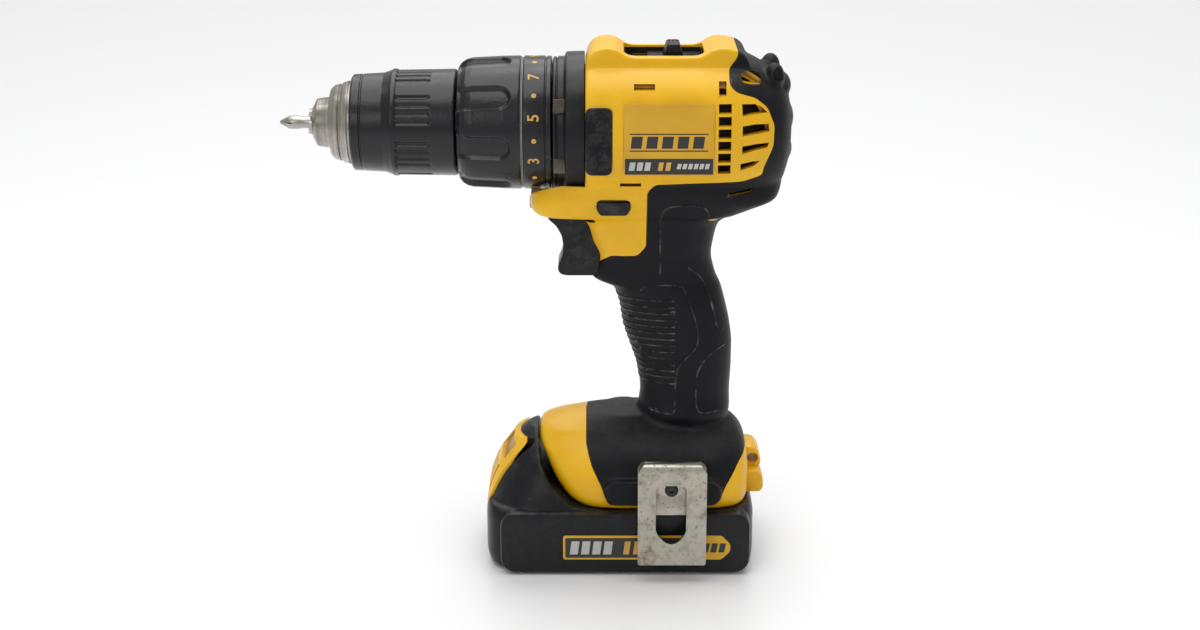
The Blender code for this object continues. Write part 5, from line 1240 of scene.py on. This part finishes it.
class DRILL_OT_battery(bpy.types.Operator):
    """Build the battery pack, its label, and the sprung latch"""
    bl_idname = "drill.battery"
    bl_label = "Battery Pack"

    def execute(self, context):
        panel = millimetres(((-54.8, 1.0), (57.5, 1.0), (57.5, 30.0), (-54.8, 30.0)))
        head = as_object(loft(PACK_HEAD, upright(0.0)))
        within(head, prism(millimetres(HEAD_REAR), -0.06, 0.06))
        join(head, loft(PACK, upright(0.0)))
        form = bmesh.new()
        form.from_mesh(head.data)
        drop(head)
        body = fused([form], context.scene.drill_sizes.pack_voxel, 3)
        cut(body, loft(FOOT, upright(FOOT_BASE_Z), -0.0006))
        join(body, prism(panel, -0.0373, 0.0373, 0.0068, 6, 0.0014))
        join(body, box((-0.0200, -0.0200, 0.0280), (0.0430, 0.0200, 0.0420), 0.0010))
        cut(body, box((-0.1, -0.1, -0.01), (0.1, 0.1, 0.0)))
        for index in range(4):
            y = 0.0080 * (index - 1.5)
            cut(body, box((0.0060, y - 0.0009, 0.0345), (0.0700, y + 0.0009, 0.0500)))
        for side in (-1, 1):
            near, far = span(side, 0.0175, 0.0250)
            cut(body, box((-0.0150, near, 0.0318), (0.0500, far, 0.0352), 0.0003))
        press = JOINTS["latch_press"]
        for share in (0.0, 0.35, 0.7, 1.05):
            room = prism(latch_points(0.0005), -0.0175, 0.0175, 0.0010)
            way = Vector(press["axis"]) * press["range_m"][1] * share
            bmesh.ops.translate(room, vec=way, verts=room.verts)
            cut(body, room)
        piece(body, "battery_body", "satin_black", "battery", "battery_case", "battery_cover",
              slot="black_plastic")
        self.label()
        self.latch()
        return {"FINISHED"}

    def label(self):
        """A yellow border round a dark field with plain bars, its rear end rounded."""
        near, far = -0.03795, -0.0372
        ends = ((-26.6, 8.0), (44.6, 8.0), (48.6, 12.0), (48.6, 15.6), (44.6, 19.6), (-26.6, 19.6))
        film = prism(millimetres(ends), near, far, 0.0012, 5, 0.0001)
        piece(as_object(film), "pack_label", "label_film", "battery", "battery_label", slot="label_print")
        field = ((-25.6, 9.0), (33.0, 9.0), (33.0, 18.6), (-25.6, 18.6))
        dark = prism(millimetres(field), near - 0.00006, far, 0.0006)
        piece(as_object(dark), "pack_label_field", "dark_print", "battery", slot="label_print")
        for name, first, step, low, width, height, count, finish in (
            ("light", -23.6, 5.0, 10.6, 3.6, 6.4, 4, "grey_print"),
            ("gold", 0.4, 4.4, 10.6, 2.6, 6.4, 2, "gold_print"),
            ("dark", 36.0, 3.6, 11.6, 2.6, 4.4, 3, "dark_print"),
        ):
            places = [(first + step * index, low, width, height) for index in range(count)]
            bars(f"pack_label_{name}_bars", places, near - 0.00012, near + 0.0002, finish, "battery", 0.8)

    def latch(self):
        """A yellow pad on the sloping front, with a thumb scoop above four ribs."""
        latch = as_object(prism(latch_points(0.0), -0.0170, 0.0170, 0.0008, 3, 0.0008))
        within(latch, loft(PACK_HEAD, upright(0.0), -0.0010))
        slope = Matrix.Translation((-0.0525, 0.0, 0.0500)) @ Matrix.Rotation(math.radians(33), 4, "Y")
        scoop = box((-0.0050, -0.0128, -0.0040), (0.0022, 0.0128, 0.0060), 0.0014, 3)
        bmesh.ops.transform(scoop, matrix=slope, verts=scoop.verts)
        cut(latch, scoop, solver="EXACT")
        way = Matrix.Translation((-0.0583, 0.0, 0.0375)) @ Matrix.Rotation(math.radians(17), 4, "Y")
        for index in range(5):
            y = 0.0056 * (index - 2)
            gutter = box((-0.0020, y - 0.0011, -0.0062), (0.0013, y + 0.0011, 0.0062), 0.0004)
            bmesh.ops.transform(gutter, matrix=way, verts=gutter.verts)
            cut(latch, gutter, solver="EXACT")
        piece(latch, "latch_pad", "yellow_plastic", "latch", "latch_button", slot="yellow_shell")


def latch_points(grow):
    slope = millimetres(LATCH_SLOPE)
    front = [(x - 0.0018 - grow, z) for x, z in slope]
    rear = [(x + 0.0035 + grow, z) for x, z in reversed(slope)]
    front[0] = (front[0][0], front[0][1] - grow)
    rear[-1] = (rear[-1][0], rear[-1][1] - grow)
    front[-1] = (front[-1][0], front[-1][1] + grow)
    rear[0] = (rear[0][0], rear[0][1] + grow)
    return front + rear


class DRILL_OT_fittings(bpy.types.Operator):
    """Build the belt clip, its screw, and the bit holder behind the foot"""
    bl_idname = "drill.fittings"
    bl_label = "Belt Clip and Bit Holder"

    def execute(self, context):
        self.clip()
        self.screw()
        self.bit_holder()
        return {"FINISHED"}

    def clip(self):
        """A strip folded over at the top, with a window in its outer leaf."""
        bend = 0.0036
        top = 0.0578 - 0.00065 - bend
        outer_y, inner_y = -0.04585, -0.03795
        middle = (outer_y + inner_y) / 2
        reach = (inner_y - outer_y) / 2
        path = [(outer_y, 0.0092), (outer_y, 0.020), (outer_y, top)]
        path += [
            (middle - reach * math.cos(math.pi * step / 10), top + bend * math.sin(math.pi * step / 10))
            for step in range(1, 10)
        ]
        path += [(inner_y, top), (inner_y, 0.0390), (inner_y - 0.0012, 0.0370), (inner_y - 0.0012, 0.0312)]
        bm = bmesh.new()
        edges = edge_loop(bm, [(0.0067, y, z) for y, z in path], closed=False)
        moved_on(bm, bmesh.ops.extrude_edge_only(bm, edges=edges), (0.0305, 0.0, 0.0))
        bmesh.ops.solidify(bm, geom=list(bm.faces), thickness=0.0013)
        bmesh.ops.recalc_face_normals(bm, faces=bm.faces)
        clip = as_object(bm)
        low, high = -0.0465, -0.0373
        shift = low - min(vert.co.y for vert in clip.data.vertices)
        clip.data.transform(Matrix.Translation((0.0, shift, 0.0)))
        outline = ((6.75, 8.9), (37.15, 8.9), (37.15, 54.0), (33.5, 57.6), (10.4, 57.6), (6.75, 54.0))
        keep = prism(millimetres(outline), low - 0.005, high + 0.01, 0.0016, 6)
        within(clip, keep, solver="EXACT")
        window = millimetres(
            ((14.7, 24.6), (19.6, 19.4), (24.0, 19.4), (28.2, 24.6), (28.2, 47.4), (14.7, 47.4))
        )
        cut(clip, prism(window, low - 0.005, -0.0440, 0.0022, 6), solver="EXACT")
        bore = self.screw_rod(-0.0440, -0.030, 0.0018, 32)
        cut(clip, bore, solver="EXACT")
        piece(clip, "clip_strip", "clip_metal", "housing", "belt_clip", slot="clip_steel")

    def screw_rod(self, start, end, radius, sides):
        """A rod along Y on the clip screw's axis."""
        return rod((CLIP_SCREW_X, start, CLIP_SCREW_Z), (CLIP_SCREW_X, end, CLIP_SCREW_Z), radius, sides)

    def screw(self):
        head = self.screw_rod(-0.0409, -0.0389, 0.0030, 48)
        round_edges(head, 0.0008, 50, 3)
        screw = as_object(head)
        cut(screw, self.screw_rod(-0.0420, -0.0398, 0.0012, 6), solver="EXACT")
        join(screw, self.screw_rod(-0.0395, -0.0330, 0.0014, 24), solver="EXACT")
        piece(screw, "clip_screw", "black_steel", "housing", "belt_clip_screw", slot="dark_steel")

    def bit_holder(self):
        block = ((55.0, 29.8), (63.6, 29.8), (65.0, 32.2), (64.6, 37.6), (62.2, 40.2), (55.0, 40.2))
        holder = as_object(prism(millimetres(block), -0.0118, 0.0010, 0.0011, 3, 0.0010))
        loop = ((55.0, 38.4), (62.6, 38.4), (64.2, 41.4), (63.4, 46.0), (60.8, 49.2), (55.0, 50.0))
        join(holder, prism(millimetres(loop), -0.0050, 0.0118, 0.0013, 3, 0.0010), solver="EXACT")
        cut(holder, rod((0.0602, -0.03, 0.0440), (0.0602, 0.03, 0.0440), 0.0026, 48), solver="EXACT")
        piece(holder, "bit_clip", "yellow_plastic", "housing", "bit_holder", slot="yellow_shell")


class DRILL_OT_inner_pieces(bpy.types.Operator):
    """Give the pieces that come from the frame their finishes"""
    bl_idname = "drill.inner_pieces"
    bl_label = "Inner Pieces"

    def execute(self, context):
        slots = {part["node"]: part["material_slot"] for part in frame["record"]["subparts"]}
        for name, node in frame["nodes"].items():
            node.data.materials.clear()
            # The motor can gets the darkened steel: painted shade, as it lies in shadow inside the housing.
            finish = "dusty_steel" if name == "motor_can" else SLOT_FINISHES[slots[name]]
            node.data.materials.append(finish_of(finish))
        return {"FINISHED"}


class DRILL_OT_stage(bpy.types.Operator):
    """Set the pale floor, the soft lights and the camera"""
    bl_idname = "drill.stage"
    bl_label = "Stage"

    def execute(self, context):
        self.floor()
        self.lights(context)
        self.camera(context)
        context.scene.view_settings.view_transform = "Standard"
        return {"FINISHED"}

    def floor(self):
        """A wide flat floor; its far part is all that stands behind the drill."""
        bm = bmesh.new()
        bmesh.ops.create_circle(bm, cap_ends=True, segments=96, radius=4.5)
        floor = as_object(bm, "studio_floor")
        floor.data.shade_smooth()
        made, tree, shader, place = start_material("pale_board", Roughness=0.28)
        tone = mixed(tree, noise(tree, place, 2.0), (0.86, 0.865, 0.875, 1.0), (0.90, 0.90, 0.905, 1.0))
        tree.links.new(tone, shader.inputs["Base Color"])
        floor.data.materials.append(made)

    def lights(self, context):
        world = bpy.data.worlds.new("studio")
        world.use_nodes = True
        background = world.node_tree.nodes["Background"]
        background.inputs["Color"].default_value = (1.0, 1.0, 1.0, 1.0)
        background.inputs["Strength"].default_value = 0.58
        context.scene.world = world
        for name, spot, aim, size, power in (
            ("top_softbox", (-0.1, -0.05, 1.25), (0.0, 0.0, 0.1), 1.1, 9.5),
            ("front_softbox", (-0.7, -1.5, 0.85), (0.0, 0.0, 0.12), 0.7, 2.6),
            ("far_softbox", (0.0, 1.9, 2.2), (0.0, 1.6, 0.0), 2.4, 34.0),
        ):
            data = bpy.data.lights.new(name, "AREA")
            data.shape = "SQUARE"
            data.size = size
            data.energy = power
            lamp = bpy.data.objects.new(name, data)
            lamp.location = spot
            lamp.rotation_euler = (Vector(aim) - Vector(spot)).to_track_quat("-Z", "Y").to_euler()
            context.scene.collection.objects.link(lamp)

    def camera(self, context):
        data = bpy.data.cameras.new("camera")
        data.lens = 60.0
        data.sensor_width = 36.0
        data.clip_start = 0.01
        holder = bpy.data.objects.new("camera", data)
        holder.location = (-0.010, -0.8607, 0.3912)
        holder.rotation_euler = (math.radians(72.0), 0.0, 0.0)
        context.scene.collection.objects.link(holder)
        context.scene.camera = holder


# ---- add-on -------------------------------------------------------------------------------
def a_length(name, description, default, low, high):
    return FloatProperty(
        name=name, description=description, default=default, min=low, max=high, unit="LENGTH",
    )


def a_colour(name, description, default):
    return FloatVectorProperty(
        name=name, description=description, subtype="COLOR", size=3, default=default, min=0.0, max=1.0,
    )


class DrillSizes(bpy.types.PropertyGroup):
    """Sizes that a user might change"""
    seam: a_length("Seam", "Groove between the yellow shells and the grip", 0.0003, 0.0001, 0.001)
    skin_voxel: a_length("Housing Detail", "Mesh size of the blended housing", 0.0008, 0.0005, 0.003)
    pack_voxel: a_length("Pack Detail", "Mesh size of the battery pack", 0.0007, 0.0005, 0.003)


class DrillColours(bpy.types.PropertyGroup):
    """Colours of the main finishes"""
    yellow: a_colour("Yellow", "Moulded yellow plastic", (0.82, 0.455, 0.003))
    black: a_colour("Black", "Rubber and black plastic", (0.0040, 0.0044, 0.0062))
    gold: a_colour("Gold", "Printed numbers and bars", (0.62, 0.36, 0.06))
    label: a_colour("Label", "Printed film on the sides", (0.66, 0.36, 0.012))


STEPS = (
    DRILL_OT_housing,
    DRILL_OT_side_trim,
    DRILL_OT_controls,
    DRILL_OT_collar,
    DRILL_OT_gear_case,
    DRILL_OT_chuck,
    DRILL_OT_battery,
    DRILL_OT_fittings,
    DRILL_OT_inner_pieces,
    DRILL_OT_stage,
)


class DRILL_PT_panel(bpy.types.Panel):
    """Sidebar panel that lists the drill's pieces"""
    bl_idname = "DRILL_PT_panel"
    bl_label = "Cordless Drill"
    bl_space_type = "VIEW_3D"
    bl_region_type = "UI"
    bl_category = "Drill"

    def draw(self, context):
        for group in (context.scene.drill_sizes, context.scene.drill_colours):
            for name in group.bl_rna.properties.keys():
                if name not in {"rna_type", "name"}:
                    self.layout.prop(group, name)
        for step in STEPS:
            self.layout.operator(step.bl_idname)


CLASSES = (DrillSizes, DrillColours, *STEPS, DRILL_PT_panel)


def register():
    for part in CLASSES:
        bpy.utils.register_class(part)
    bpy.types.Scene.drill_sizes = PointerProperty(type=DrillSizes)
    bpy.types.Scene.drill_colours = PointerProperty(type=DrillColours)


def unregister():
    del bpy.types.Scene.drill_colours
    del bpy.types.Scene.drill_sizes
    for part in reversed(CLASSES):
        bpy.utils.unregister_class(part)


def main():
    register()
    for step in STEPS:
        group, name = step.bl_idname.split(".")
        getattr(getattr(bpy.ops, group), name)()


if __name__ == "__main__":
    main()
